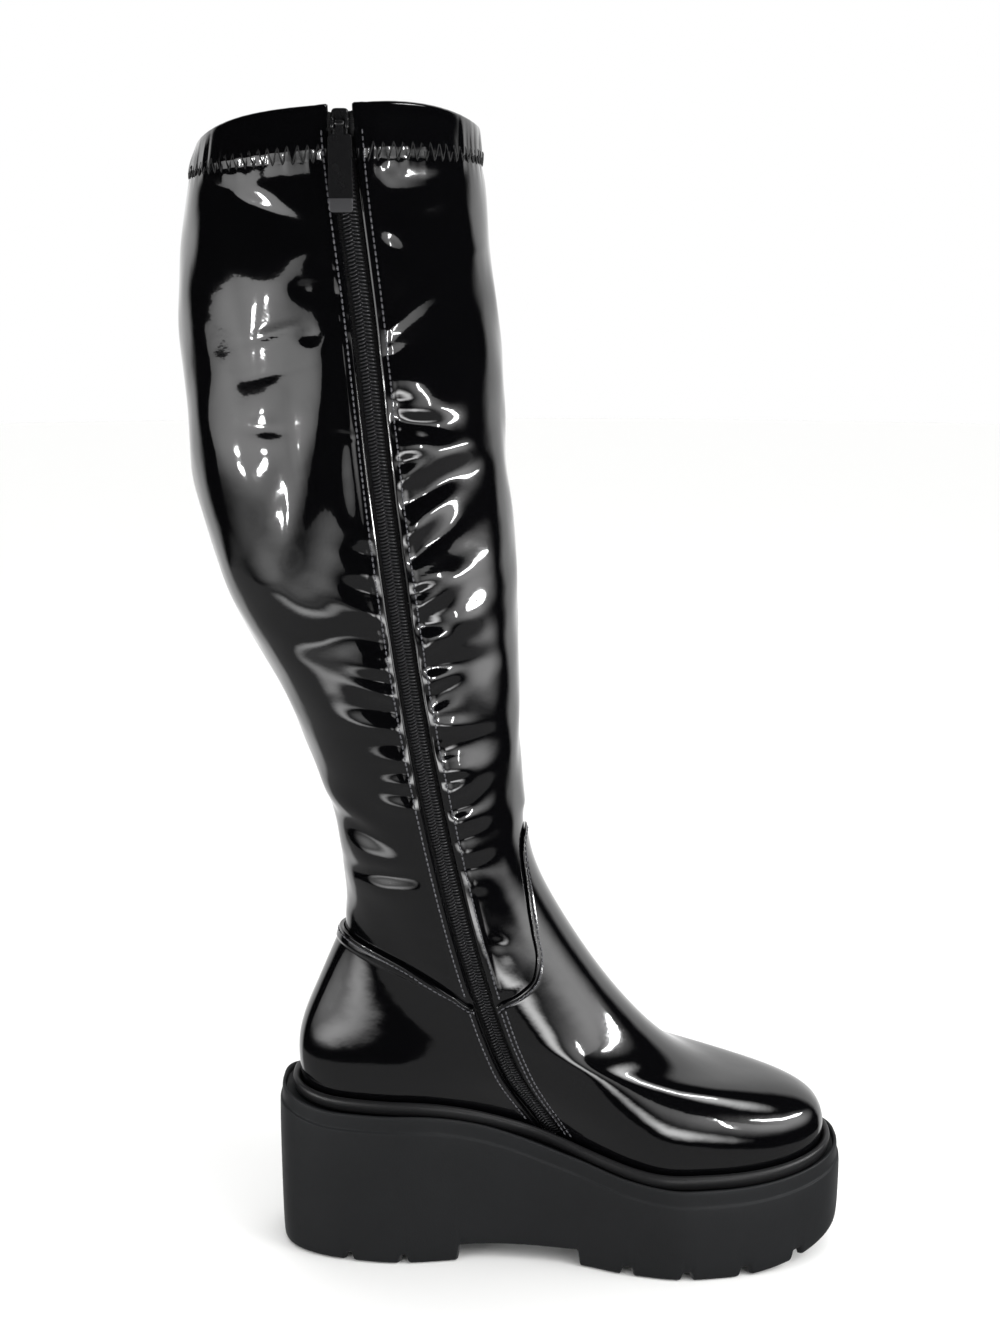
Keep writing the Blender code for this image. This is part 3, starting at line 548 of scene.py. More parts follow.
def ring_points(level, turn):
    """Points of the upper's outer face. Turn 0 is the front, 0.25 the inner side, 0.5 the back. A ring runs
    from its back to its front point by cosine steps, its half width is a superellipse, and its height mixes a
    straight line with the sole's. The collar bows by a fourth power."""
    level, turn = np.broadcast_arrays(np.clip(level, 0.0, TOP_LEVEL), turn)
    ring = Ring(*(np.interp(level, FINE_LEVELS, column) for column in FINE_RINGS))
    angle = 2.0 * np.pi * turn
    share = (1.0 + np.cos(angle)) / 2.0
    x = ring.back_x + (ring.front_x - ring.back_x) * share
    width = width_along(share, ring) * end_round(share, ring.round_back, ring.round_front)
    sole_share = (x - SOLE_BACK) / SOLE_LENGTH
    lean = (plan_width(sole_share, "lateral") - plan_width(sole_share, "medial")) / 2.0 + swing(sole_share)
    y = lean * ring.follow - width * np.sign(np.sin(angle))
    straight = ring.back_z + (ring.front_z - ring.back_z) * share
    back_rise = ring.back_z - shelf_height(ring.back_x)
    front_rise = ring.front_z - shelf_height(ring.front_x)
    along_sole = shelf_height(x) + back_rise + (front_rise - back_rise) * share
    collar = np.clip(level - (TOP_LEVEL - 1.0), 0.0, 1.0)
    bow = COLLAR_BOW * collar * (1.0 - (2.0 * share - 1.0) ** 4)
    return np.stack([x, y, straight + (along_sole - straight) * ring.follow + bow], axis=-1)


def unit(vectors):
    """Vectors divided by their length."""
    return vectors / np.maximum(np.linalg.norm(vectors, axis=-1, keepdims=True), 1e-9)


def skin_frame(level, turn):
    """Points of the outer face with their outward normals and upward directions, by central differences."""
    points = ring_points(level, turn)
    along = ring_points(level, turn + SLOPE_STEP) - ring_points(level, turn - SLOPE_STEP)
    above, below = np.minimum(level + SLOPE_STEP, TOP_LEVEL), np.maximum(level - SLOPE_STEP, 0.0)
    up = ring_points(above, turn) - ring_points(below, turn)
    return points, unit(np.cross(up, along)), unit(up)


def zip_x(z):
    """Place of the zip's middle line along the boot at a height."""
    return curve_through([mark.z for mark in ZIP_LINE], [mark.x for mark in ZIP_LINE], z)


def zip_turns(level, aside, side=1.0):
    """Turns (level by aside) at which rings cross the zip's line moved forward by each aside, on the inner
    side, or on the outer side's mirror of that line for side -1."""
    points = ring_points(level[:, None], side * SIDE_TURNS[None, :])
    ahead = points[..., 0] - zip_x(points[..., 2])
    aside = np.broadcast_to(aside, (len(level), len(aside)))
    i = np.clip((ahead[:, None, :] > aside[:, :, None]).sum(axis=-1), 1, len(SIDE_TURNS) - 1)
    near, far = np.take_along_axis(ahead, i - 1, axis=1), np.take_along_axis(ahead, i, axis=1)
    share = (near - aside) / (near - far)
    return side * (SIDE_TURNS[i - 1] + share * (SIDE_TURNS[i] - SIDE_TURNS[i - 1]))


def above_counter(points):
    """Height above the counter's free edge in side view. The edge ends at the zip on the inner side, and at
    the side seam on the outer side."""
    height = []
    for aside in (ZIP_EDGE, SIDE_SEAM):
        edge = COUNTER_EDGE + (Mark(float(zip_x(EDGE_JOIN_Z)) - aside, EDGE_JOIN_Z),)
        edge_z = curve_through([mark.x for mark in edge], [mark.z for mark in edge], points[..., 0])
        height.append(points[..., 2] - edge_z)
    return np.where(points[..., 1] < 0.0, *height)


def behind_vamp(points):
    """Distance behind the vamp's free edge in side view, which ends at the zip and at the side seam too."""
    behind = []
    for aside in (ZIP_EDGE, SIDE_SEAM):
        edge = (Mark(float(zip_x(EDGE_JOIN_Z)) + aside, EDGE_JOIN_Z),) + VAMP_EDGE
        edge_x = curve_through([mark.z for mark in edge], [mark.x for mark in edge], points[..., 2])
        behind.append(edge_x - points[..., 0])
    return np.where(points[..., 1] < 0.0, *behind)


# Gathers run out from the zip's flanges: height on the zip, climb per millimetre away from it, reach, half
# width and lift, in front of the zip (side 1) or behind it (side -1)
Gather = namedtuple("Gather", "side z climb reach half lift")
GATHERS = (
    Gather(1, 437, 0.75, 36, 1.8, 0.45),
    Gather(1, 416, 0.20, 26, 4.5, 1.3),
    Gather(1, 401, -0.30, 24, 3.0, -1.1),
    Gather(1, 389, 0.05, 28, 3.4, 1.3),
    Gather(1, 377, 0.50, 28, 3.0, 1.2),
    Gather(1, 366, 0.45, 32, 2.8, -1.0),
    Gather(1, 354, 0.80, 34, 3.6, 1.5),
    Gather(1, 343, 0.70, 28, 2.8, -1.1),
    Gather(1, 332, 0.30, 22, 2.8, 1.1),
    Gather(1, 322, 0.60, 28, 3.0, 1.3),
    Gather(1, 313, -0.20, 20, 2.4, -0.9),
    Gather(1, 304, 0.55, 38, 3.6, 1.6),
    Gather(1, 294, 0.10, 28, 2.4, -1.0),
    Gather(1, 287, 0.15, 16, 2.2, 0.8),
    Gather(1, 279, 0.60, 30, 3.2, -1.2),
    Gather(1, 268, -0.15, 20, 2.4, 1.0),
    Gather(1, 256, 0.25, 30, 3.6, -1.1),
    Gather(1, 246, 0.10, 18, 2.4, 1.0),
    Gather(1, 236, 0.45, 26, 3.4, 1.2),
    Gather(1, 227, 0.15, 14, 2.2, -0.7),
    Gather(1, 220, 0.40, 22, 3.0, 1.2),
    Gather(1, 206, 0.20, 18, 3.0, 0.9),
    Gather(1, 191, 0.10, 16, 3.5, 0.7),
    Gather(-1, 470, 0.10, 14, 3.0, 0.5),
    Gather(-1, 452, 0.25, 16, 2.6, -0.6),
    Gather(-1, 436, -0.15, 16, 2.6, 0.6),
    Gather(-1, 352, 0.30, 12, 2.4, 0.5),
    Gather(-1, 336, 0.15, 14, 2.4, 0.5),
    Gather(-1, 318, 0.45, 28, 3.4, 1.0),
    Gather(-1, 306, 0.20, 22, 2.6, -0.8),
    Gather(-1, 294, 0.10, 26, 3.0, 1.1),
    Gather(-1, 282, 0.35, 26, 2.6, 1.3),
    Gather(-1, 274, 0.10, 24, 2.4, -1.0),
    Gather(-1, 266, 0.20, 26, 2.8, 1.3),
    Gather(-1, 252, 0.05, 18, 2.6, 1.1),
    Gather(-1, 241, 0.00, 16, 2.0, 0.8),
    Gather(-1, 229, 0.15, 22, 3.0, 1.2),
)
MINOR_REACH, MINOR_HALF, MINOR_LIFT = 11.0, 1.3, 0.42
GATHER_WIDENS, WIDEST_AT, GATHER_FADE = 0.5, 1.5, 0.55
GATHER_START, GATHER_BLEND = 5.0, 7.0
# Dents and swells away from the zip: place in side view, half length, half width, tilt in degrees, lift
Dent = namedtuple("Dent", "x z long wide tilt lift")
DENTS = (
    Dent(-37, 484, 17, 4.4, -24, -1.7),
    Dent(-20, 474, 13, 13, 0, 1.0),
    Dent(-36, 400, 20, 62, 6, -2.4),
    Dent(-48, 432, 3.5, 24, 6, -0.7),
    Dent(-33, 456, 9, 9, -10, 0.8),
    Dent(-32, 436, 8, 1.4, 17, -0.4),
    Dent(-31, 420, 11, 1.4, 14, -0.13),
    Dent(-25, 388, 1.6, 14, 0, -0.35),
    Dent(-37, 397, 7, 3.0, 0, -0.40),
    Dent(-38, 408, 7, 6.5, 0, 0.4),
    Dent(-36, 386, 7, 8, 0, 0.4),
    Dent(-19, 453, 2.6, 2.2, 0, -0.7),
    Dent(-17, 435, 3.2, 2.4, 0, -0.7),
    Dent(-24, 372, 4.5, 24, -8, 0.9),
    Dent(-15, 354, 4.5, 20, -6, -0.4),
    Dent(-32, 346, 4.5, 18, -14, 0.9),
    Dent(-13, 402, 4.5, 28, -5, 1.0),
    Dent(-24, 322, 20, 5.5, -22, 0.8),
    Dent(-16, 305, 18, 4.5, 14, -0.8),
    Dent(-12, 278, 14, 10, 20, 0.7),
    Dent(28, 492, 16, 7, 6, -1.9),
    Dent(16, 470, 4.4, 2.4, -38, -1.2),
    Dent(31, 454, 23, 1.2, 37, 0.25),
    Dent(33, 405, 12, 11, 0, 1.5),
    Dent(28, 399, 7.5, 3, 3, -1.1),
    Dent(45, 374, 11, 9, 25, -1.6),
    Dent(48, 388, 12, 5, 20, 0.8),
    Dent(48, 330, 9, 20, 0, 0.7),
    Dent(50, 495, 7, 16, 0, 0.8),
    Dent(52, 455, 6, 12, 0, -0.9),
    Dent(52, 428, 6, 9, 0, 1.0),
    Dent(55, 395, 6, 12, 0, -0.8),
    Dent(58, 350, 6, 16, 0, 0.7),
    Dent(-8, 226, 12, 4.5, -32, 1.6),
    Dent(-2, 216, 13, 4, -28, -1.5),
    Dent(2, 205, 16, 6, 2, 1.0),
    Dent(8, 195, 12, 3.2, 2, -1.5),
    Dent(10, 188, 16, 5.5, 2, 0.8),
    Dent(29, 165, 3.0, 1.5, 0, -0.5),
    Dent(33, 154, 2.6, 1.3, 0, -0.4),
    Dent(58, 162, 5, 2.2, -8, -0.7),
    Dent(62, 184, 12, 10, 0, 0.4),
    Dent(63, 157, 12, 10, 0, -0.5),
    Dent(60, 214, 7, 8, 20, 0.3),
)
OUTER_DENTS = 0.6
SIDE_FROM, SIDE_BLEND = 2.0, 12.0
ZIP_CLEAR, ZIP_CLEAR_BLEND = 3.0, 9.0
# Slow waves of the whole skin: wave length round the shaft and up it, phase and lift
Wave = namedtuple("Wave", "around up phase lift")
WAVES = (
    Wave(88.0, 140.0, 0.3, 0.5),
    Wave(61.0, -96.0, 1.9, 0.4),
    Wave(143.0, 67.0, 4.1, 0.45),
    Wave(47.0, 58.0, 2.7, 0.2),
    Wave(-38.0, 44.0, 5.2, 0.14),
    Wave(27.0, 31.0, 1.1, 0.10),
    Wave(-22.0, 37.0, 3.3, 0.08),
)
INNER_WAVES = 0.5
SHAFT_GIRTH = 330.0
# Hem, its flare and its scallops, in levels above it, and the calmer skin round it and under the panels
HEM_STEP, HEM_LEVEL, HEM_BLEND = 0.8, 24.0, 0.12
HEM_CALM, CALM_FROM, CALM_BLEND = 0.85, -0.5, 0.6
HEM_FLARE, FLARE_FROM, FLARE_BLEND, FLARE_AHEAD = 0.9, 0.15, 0.8, 20.0
Scallop = namedtuple("Scallop", "length phase lift")
SCALLOPS = (Scallop(3.9, 0.0, 0.38), Scallop(6.7, 1.0, 0.28))
SCALLOP_MIDDLE, SCALLOP_HALF = 0.3, 0.32
PANEL_BLEND, PANEL_PRESS = 9.0, 0.25
FLANGE_WIDTH, FLANGE_RISE, FLANGE_PAST, FLANGE_BLEND = 4.6, 0.4, 1.0, 2.2
EDGE_FALL, EDGE_ROUND = 0.9, 0.8
BACK_SEAM_DEPTH, BACK_SEAM_HALF = 0.6, 1.1


def bell(share):
    """The bell curve exp(-t^2 / 2)."""
    return np.exp(-0.5 * share**2)


def minor_gathers():
    """A small gather halfway between each two that follow each other on a side, of the opposite sense."""
    minor = []
    for one, other in zip(GATHERS[:-1], GATHERS[1:]):
        if one.side == other.side:
            lift = -np.sign(one.lift) * MINOR_LIFT
            middle, climb = (one.z + other.z) / 2.0, (one.climb + other.climb) / 2.0
            minor.append(Gather(one.side, middle, climb, MINOR_REACH, MINOR_HALF, lift))
    return tuple(minor)


def skin_lift(level, turn, points):
    """Millimetres by which the skin stands off the last's smooth form: bell-shaped ridges and troughs from
    the two tables on the inner side, milder copies of the dents on the outer side, slow sine waves, the hem's
    step, flare and scallops, the zip's flanges and the back seam."""
    x, y, z = np.moveaxis(points, -1, 0)
    inner = smooth_step((-y - SIDE_FROM) / SIDE_BLEND)
    from_zip = x - zip_x(z)
    lift = np.zeros_like(x)
    for gather in GATHERS + minor_gathers():
        out = gather.side * from_zip - SLIT_HALF - FLANGE_WIDTH
        away = np.maximum(out, 0.0)
        half = gather.half * (1.0 + GATHER_WIDENS * np.clip(out / gather.reach, 0.0, WIDEST_AT))
        fade = bell(away / (GATHER_FADE * gather.reach)) * smooth_step((out + GATHER_START) / GATHER_BLEND)
        lift += inner * gather.lift * fade * bell((z - gather.z - gather.climb * away) / half)
    clear_of_zip = smooth_step((np.abs(from_zip) - SLIT_HALF - ZIP_CLEAR) / ZIP_CLEAR_BLEND)
    either_side = clear_of_zip * inner + OUTER_DENTS * smooth_step((y - SIDE_FROM) / SIDE_BLEND)
    for dent in DENTS:
        tilt = np.radians(dent.tilt)
        long = (x - dent.x) * np.cos(tilt) + (z - dent.z) * np.sin(tilt)
        wide = (z - dent.z) * np.cos(tilt) - (x - dent.x) * np.sin(tilt)
        lift += either_side * dent.lift * bell(long / dent.long) * bell(wide / dent.wide)
    girth = SHAFT_GIRTH * turn
    for wave in WAVES:
        swell = np.sin(2.0 * np.pi * (girth / wave.around + z / wave.up) + wave.phase)
        lift += wave.lift * swell * (INNER_WAVES * clear_of_zip * inner + 1.0 - inner)
    shown = smooth_step(np.minimum(above_counter(points), behind_vamp(points)) / PANEL_BLEND)
    over_hem = level - HEM_LEVEL
    calm = 1.0 - HEM_CALM * smooth_step((over_hem - CALM_FROM) / CALM_BLEND)
    lift = lift * shown * calm - PANEL_PRESS * (1.0 - shown)
    flare = HEM_FLARE * smooth_step((over_hem - FLARE_FROM) / FLARE_BLEND) * smooth_step(x / FLARE_AHEAD)
    hem = HEM_STEP * smooth_step(over_hem / HEM_BLEND) + flare
    ruffle = sum(row.lift * np.sin(2.0 * np.pi * girth / row.length + row.phase) for row in SCALLOPS)
    hem = hem + ruffle * bell((over_hem - SCALLOP_MIDDLE) / SCALLOP_HALF)
    flange_end, edge_end = SLIT_HALF + FLANGE_WIDTH + FLANGE_PAST, SLIT_HALF + EDGE_ROUND
    flange = FLANGE_RISE * smooth_step((flange_end - np.abs(from_zip)) / FLANGE_BLEND)
    flange = (flange - EDGE_FALL * smooth_step((edge_end - np.abs(from_zip)) / EDGE_ROUND)) * (y < 0.0)
    back_seam = BACK_SEAM_DEPTH * np.exp(-(((turn % 1.0 - 0.5) * SHAFT_GIRTH / BACK_SEAM_HALF) ** 2))
    return lift + hem + (flange - back_seam) * shown


def upper_columns(level):
    """Turns (level by column) from the zip's rear edge round the back and the front to its front edge."""
    steps = np.array(SLIT_STEPS)
    rear, front = zip_turns(level, -SLIT_HALF - steps), zip_turns(level, SLIT_HALF + steps[::-1])
    back = np.linspace(0.0, 1.0, BACK_COLUMNS + 1)[1:]
    ahead = np.linspace(0.0, 1.0, FRONT_COLUMNS + 1)[:-1]
    to_back = rear[:, -1:] + (0.5 - rear[:, -1:]) * back
    outer = 0.5 + 0.5 * np.linspace(0.0, 1.0, OUTER_COLUMNS + 1)[1:-1] * np.ones_like(rear[:, :1])
    to_front = 1.0 + front[:, :1] * ahead
    return np.concatenate([rear, to_back, outer, to_front, 1.0 + front], axis=1)


def shell_faces(rows, rim, columns):
    """Faces of a closed shell: outer rows, rim rows and a quarter as many inner rows form one loop, and fans
    between each inner row and the outer rows over it close the ends of the columns. Loop faces come first."""
    inner = (rows - 1) // ROWS_PER_LINING_ROW + 1
    total = rows + rim + inner
    faces = grid_faces(total, columns, close_rows=True)
    outer = np.arange(rows - 1)
    near = total - 1 - outer // ROWS_PER_LINING_ROW
    step = np.arange(inner - 1)
    for column in (0, columns - 1):
        fans = np.stack([outer, outer + 1, near], axis=-1) * columns + column
        ties = np.stack([(step + 1) * ROWS_PER_LINING_ROW, total - 2 - step, total - 1 - step], axis=-1)
        rim_loop = np.arange(rows - 1, rows + rim + 1) * columns + column
        faces += fans.tolist() + (ties * columns + column).tolist() + [rim_loop.tolist()]
    return faces


def upper_levels():
    """Levels of the skin's rows: a few where overlays hide it, then even steps in height to the collar."""
    height = (FINE_RINGS.back_z + FINE_RINGS.front_z) / 2.0
    start = np.interp(HIDDEN_LEVEL, FINE_LEVELS, height)
    shown = np.interp(np.linspace(start, height[-1], SHOWN_ROWS + 1), height, FINE_LEVELS)
    return np.concatenate([np.linspace(0.0, HIDDEN_LEVEL, HIDDEN_ROWS, endpoint=False), shown])


def upper_shell():
    """The skin's rows from the feather line up, a half-round rim over the collar and the lining's rows."""
    level = upper_levels()
    turn = upper_columns(level)
    points, normal, up = skin_frame(level[:, None], turn)
    lift = skin_lift(level[:, None], turn, points)[..., None]
    skin = points + lift * normal
    lining = (points + (np.minimum(lift, 0.0) - WALL) * normal)[::-ROWS_PER_LINING_ROW]
    bend = np.linspace(0.0, np.pi, RIM_ROWS + 2)[1:-1, None, None]
    half = (lift[-1] + WALL) / 2.0
    middle = points[-1] + (lift[-1] - half) * normal[-1]
    rim = middle + half * (np.cos(bend) * normal[-1] + RIM_HEIGHT * np.sin(bend) * up[-1])
    return np.concatenate([skin, rim, lining]), len(level)


# Black patent: a polyurethane film over cloth, mirror-smooth, with slow ripple and faint orange peel
patent, tree, shader, _ = new_material(
    "black_patent",
    {
        "Base Color": linear("#050506"),
        "Roughness": 0.07,
        "IOR": 1.5,
        "Coat Weight": 0.6,
        "Coat Roughness": 0.02,
        "Coat IOR": 1.5,
    },
    [Patch(26.0, 3.0, 0.04, 0.10)],
    [Grain(11.0, 1.0, 0.5, 0.22), Grain(1.6, 1.0, 0.04, 0.25)],
)
tree.links.new(shader.inputs["Normal"].links[0].from_socket, shader.inputs["Coat Normal"])

points, outer_rows = upper_shell()
faces = shell_faces(outer_rows, RIM_ROWS, points.shape[1])
strip = points.shape[1] - 1
lined = np.zeros(len(faces), dtype=np.int32)
lined[(outer_rows + RIM_ROWS + LINING_BELOW_RIM) * strip : (len(points) - 1) * strip] = 1
upper = make_piece("upper_skin", points, faces, [patent, lining_cloth], sharp=60.0, finish=lined)
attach(upper, "boot")
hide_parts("upper")

# Vamp and counter
# Panels of the same patent, folded in at their free edges and sewn over the foot, then lasted with it. The
# vamp rises to a tongue before the ankle. The counter wraps the heel, and its top edge is rolled over a cord.
GAP, OVERLAY = 0.3, 1.0
PANEL_FOOT_LEVEL, PANEL_TOP_LEVEL, PANEL_SAMPLES = 0.12, 15.0, 260
PANEL_COLUMNS, PANEL_ROWS = 170, 60
EDGE_STEPS = np.array(
    [0.0, 0.12, 0.3, 0.5, 0.8, 1.2, 1.6, 2.0, 2.4, 2.9, 3.5, 4.2, 5.0, 5.8, 6.4, 7.0, 7.6, 8.4, 9.4]
    + [10.6, 12.0]
)
FOLD, SEAM_SLACK = 0.65, 0.2
STITCH_IN, ZIP_STITCH_IN, STITCH_SINK, STITCH_HALF = 2.1, 2.7, 0.16, 0.55
ROLL_WIDTH, ROLL_END_WIDTH, ROLL_TAPER, ROLL_RISE, ROLL_BLEND = 6.6, 1.6, 45.0, 0.85, 1.1


def run_along(points):
    """Length run along a path, or along each path of a stack, up to each of its points."""
    run = np.cumsum(np.linalg.norm(np.diff(points, axis=-2), axis=-1), axis=-1)
    return np.concatenate([np.zeros_like(run[..., :1]), run], axis=-1)


def between_rows(at, known, values):
    """Straight-line interpolation in each row of known, rising values (row by sample) at its own places."""
    i = np.clip((known[:, None, :] < at[:, :, None]).sum(axis=-1), 1, known.shape[1] - 1)
    low, high = np.take_along_axis(known, i - 1, axis=1), np.take_along_axis(known, i, axis=1)
    share = np.clip((at - low) / np.maximum(high - low, 1e-9), 0.0, 1.0)
    first, last = np.take_along_axis(values, i - 1, axis=1), np.take_along_axis(values, i, axis=1)
    return first + (last - first) * share


def distance_to(points, path):
    """Distance of each grid point from the nearest point of a path."""
    return np.linalg.norm(points[:, :, None, :] - path[None, None, :, :], axis=-1).min(axis=-1)


def panel_turns(level, middle, side, way):
    """Turns (way by level) of a panel's columns. Way runs from -1 on the zip through 0 at the panel's middle
    to 1 on the side seam."""
    zip_end = zip_turns(level, np.array([side * ZIP_EDGE]))[:, 0]
    seam_end = zip_turns(level, np.array([side * SIDE_SEAM]), side=-1.0)[:, 0] + 2.0 * middle
    end = np.where(way[:, None] < 0.0, zip_end, seam_end)
    return middle + (end - middle) * np.abs(way[:, None])


def panel_grid(middle, side, beyond_edge):
    """Levels and turns (column by row) from the foot up to where each column crosses the panel's free edge.
    Rows near the edge lie at the edge steps from it, and the others divide what is left evenly."""
    level = np.linspace(PANEL_FOOT_LEVEL, PANEL_TOP_LEVEL, PANEL_SAMPLES)
    way = np.sin(np.linspace(-0.5, 0.5, PANEL_COLUMNS) * np.pi)
    turn = panel_turns(level, middle, side, way)
    levels = np.broadcast_to(level, turn.shape)
    points = ring_points(levels, turn)
    beyond = beyond_edge(points)
    i = np.clip((beyond > 0.0).argmax(axis=1), 1, len(level) - 1)[:, None]
    near, far = np.take_along_axis(beyond, i - 1, axis=1), np.take_along_axis(beyond, i, axis=1)
    top = level[i - 1] - near / (far - near) * (level[1] - level[0])
    length = run_along(points)
    whole = between_rows(top, levels, length)
    rest = (whole - EDGE_STEPS[-1]) * np.linspace(0.0, 1.0, PANEL_ROWS + 1)[:-1]
    rows = between_rows(np.concatenate([rest, whole - EDGE_STEPS[::-1]], axis=1), length, levels)
    return rows, between_rows(rows, levels, turn)


def panel_shell(level, turn, roll):
    """A panel's outer face from foot to edge and its underside back. The outer face rounds over at the fold,
    sinks along the stitches and may have a rolled band below its edge, which narrows towards the zip."""
    points, normal, _ = skin_frame(level, turn)
    from_edge = distance_to(points, points[:, -1])
    from_zip = distance_to(points, points[0])
    from_seam = distance_to(points, points[-1])
    nearest = np.minimum(np.minimum(from_edge, from_zip), from_seam + SEAM_SLACK)
    fold = FOLD * (1.0 - np.sqrt(1.0 - np.clip(1.0 - nearest / FOLD, 0.0, 1.0) ** 2))
    sink = STITCH_SINK * np.exp(-(((from_edge - STITCH_IN) / STITCH_HALF) ** 2))
    sink += STITCH_SINK * np.exp(-(((from_zip - ZIP_STITCH_IN) / STITCH_HALF) ** 2))
    width = ROLL_END_WIDTH + (ROLL_WIDTH - ROLL_END_WIDTH) * smooth_step(from_zip / ROLL_TAPER)
    rolled = roll * ROLL_RISE * smooth_step((width - from_edge) / ROLL_BLEND)
    lift = (GAP + OVERLAY - fold - sink + rolled)[..., None]
    face = np.swapaxes(points + lift * normal, 0, 1)
    under = np.swapaxes(points + GAP * normal, 0, 1)
    return face, np.swapaxes(normal, 0, 1), np.concatenate([face, under[::-ROWS_PER_LINING_ROW]])


# Each panel's middle turn, its side of the zip, its free edge and how far that edge is rolled
PANELS = {"vamp": (0.0, 1.0, behind_vamp, 0.0), "counter": (0.5, -1.0, above_counter, 1.0)}
panel_faces = {}
for name, (middle, side, beyond_edge, roll) in PANELS.items():
    level, turn = panel_grid(middle, side, beyond_edge)
    face, normal, points = panel_shell(level, turn, roll)
    panel_faces[name] = (face, normal)
    faces = shell_faces(len(face), 0, PANEL_COLUMNS)
    panel = make_piece(f"{name}_panel", points, faces, [patent], sharp=60.0)
    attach(panel, "boot")
    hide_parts(name)

# Welt
# A rounded strip of extruded black rubber, bent round the foot where upper and sole meet, and cemented into
# the lip of the sole.
Bead = namedtuple("Bead", "out height")
WELT_BEAD = (
    Bead(0.0, 0.7),
    Bead(0.0, 5.0),
    Bead(0.7, 7.2),
    Bead(2.2, 8.0),
    Bead(3.7, 7.2),
    Bead(4.4, 5.2),
    Bead(4.2, 2.6),
    Bead(3.4, 0.7),
)
WELT_SEAT = GAP + OVERLAY + 0.5
FEATHER_RISE = 12.5
WELT_COLUMNS, WELT_BUNCHING = 300, 0.035


def welt_grid():
    """The bead's section, its corners cut round, carried round the foot between the upper's first two rings.
    A sine bunches its columns at toe and heel."""
    loop = np.array(WELT_BEAD + WELT_BEAD[:2])
    out, height = round_corners(loop, 2)[3:-3].T
    share = np.linspace(0.0, 1.0, WELT_COLUMNS, endpoint=False)
    turn = share + WELT_BUNCHING * np.sin(4.0 * np.pi * share)
    low, low_normal, _ = skin_frame(np.zeros(1)[:, None], turn[None, :])
    high, high_normal, _ = skin_frame(np.ones(1)[:, None], turn[None, :])
    seat = (WELT_SEAT + out)[:, None, None]
    up = (height / FEATHER_RISE)[:, None, None]
    points = low + seat * low_normal + (high - low + seat * (high_normal - low_normal)) * up
    points[..., 2] = shelf_height(points[..., 0]) + height[:, None]
    return points


# Extruded rubber: satin black, with the die's fine grain and a gloss that varies with handling
bead_rubber, *_ = new_material(
    "extruded_rubber",
    {"Base Color": linear("#171718"), "Roughness": 0.42, "Specular IOR Level": 0.4},
    [Patch(16.0, 3.0, 0.34, 0.5)],
    [Grain(1.4, 2.0, 0.1, 0.4)],
)

points = welt_grid()
faces = grid_faces(*points.shape[:2], close_rows=True, close_columns=True)
welt = make_piece("welt_bead", points, faces, [bead_rubber])
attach(welt, "boot")
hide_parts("welt")

# Zip tape
# Two tapes of woven polyester behind the slit, each sewn to one of the upper's folded edges. Their top ends
# are turned over at the collar.
TAPE_DEPTH, TAPE_THICK, TAPE_HALF = WALL + 0.7, 0.7, 9.5
TAPE_TOP_Z = 521.5
TAPE_ROWS, TAPE_COLUMNS = 200, 21
ZIP_FOOT_LEVEL, ZIP_SAMPLES = 0.35, 1200
TAPE_END_Z, TAPE_END_ASIDE, TAPE_END_DEPTH = 516.5, 4.7, 0.8
TAPE_END_HALF, TAPE_END_SQUARE = (1.7, 1.7, 5.0), 2.4
CUSHION_STEPS, CUSHION_SIDES = 17, 32
RIB_PITCH, RIB_DEPTH = 0.8, 0.2


def zip_levels(top_z, count):
    """Evenly spaced levels from the zip's foot to a height on its middle line."""
    level = np.linspace(ZIP_FOOT_LEVEL, TOP_LEVEL, ZIP_SAMPLES)
    middle = ring_points(level, zip_turns(level, np.zeros(1))[:, 0])
    top = np.interp(top_z, middle[:, 2], level)
    run = run_along(middle)
    return np.interp(np.linspace(0.0, np.interp(top, level, run), count), run, level)


def tape_shell():
    """Front of the tape from foot to top and its back, at two depths behind the upper's face."""
    level = zip_levels(TAPE_TOP_Z, TAPE_ROWS)
    turn = zip_turns(level, np.linspace(TAPE_HALF, -TAPE_HALF, TAPE_COLUMNS))
    points, normal, _ = skin_frame(level[:, None], turn)
    front, back = points - TAPE_DEPTH * normal, points - (TAPE_DEPTH + TAPE_THICK) * normal
    return np.concatenate([front, back[::-1]])


def cushion(middle, half, square, flare=0.0, extra=()):
    """A closed block with rounded faces: a superellipsoid of the given half sizes, on turns round Z and steps
    from foot to head, its sides flared towards the head. Extra steps lie at shares of the half height."""
    power = 2.0 / square
    added = np.sign(extra) * np.arcsin(np.abs(extra) ** (1.0 / power))
    even = np.linspace(-np.pi / 2.0, np.pi / 2.0, CUSHION_STEPS)
    step = np.sort(np.concatenate([even, added]))[:, None]
    turn = np.linspace(0.0, 2.0 * np.pi, CUSHION_SIDES, endpoint=False)[None, :]
    ring = np.abs(np.cos(step)) ** power
    head = np.sign(np.sin(step)) * np.abs(np.sin(step)) ** power * np.ones_like(turn)
    spread = 1.0 + flare * head
    x = half[0] * spread * ring * np.sign(np.cos(turn)) * np.abs(np.cos(turn)) ** power
    y = half[1] * ring * np.sign(np.sin(turn)) * np.abs(np.sin(turn)) ** power
    return np.stack([middle[0] + x, middle[1] + y, middle[2] + half[2] * head], axis=-1)


def joined(blocks, start=0):
    """Points and faces of several blocks as one mesh, numbered from start."""
    faces = []
    for number, block in enumerate(blocks):
        faces += grid_faces(*block.shape[:2], close_columns=True, start=start + number * block[..., 0].size)
    return np.concatenate([block.reshape(-1, 3) for block in blocks]), faces


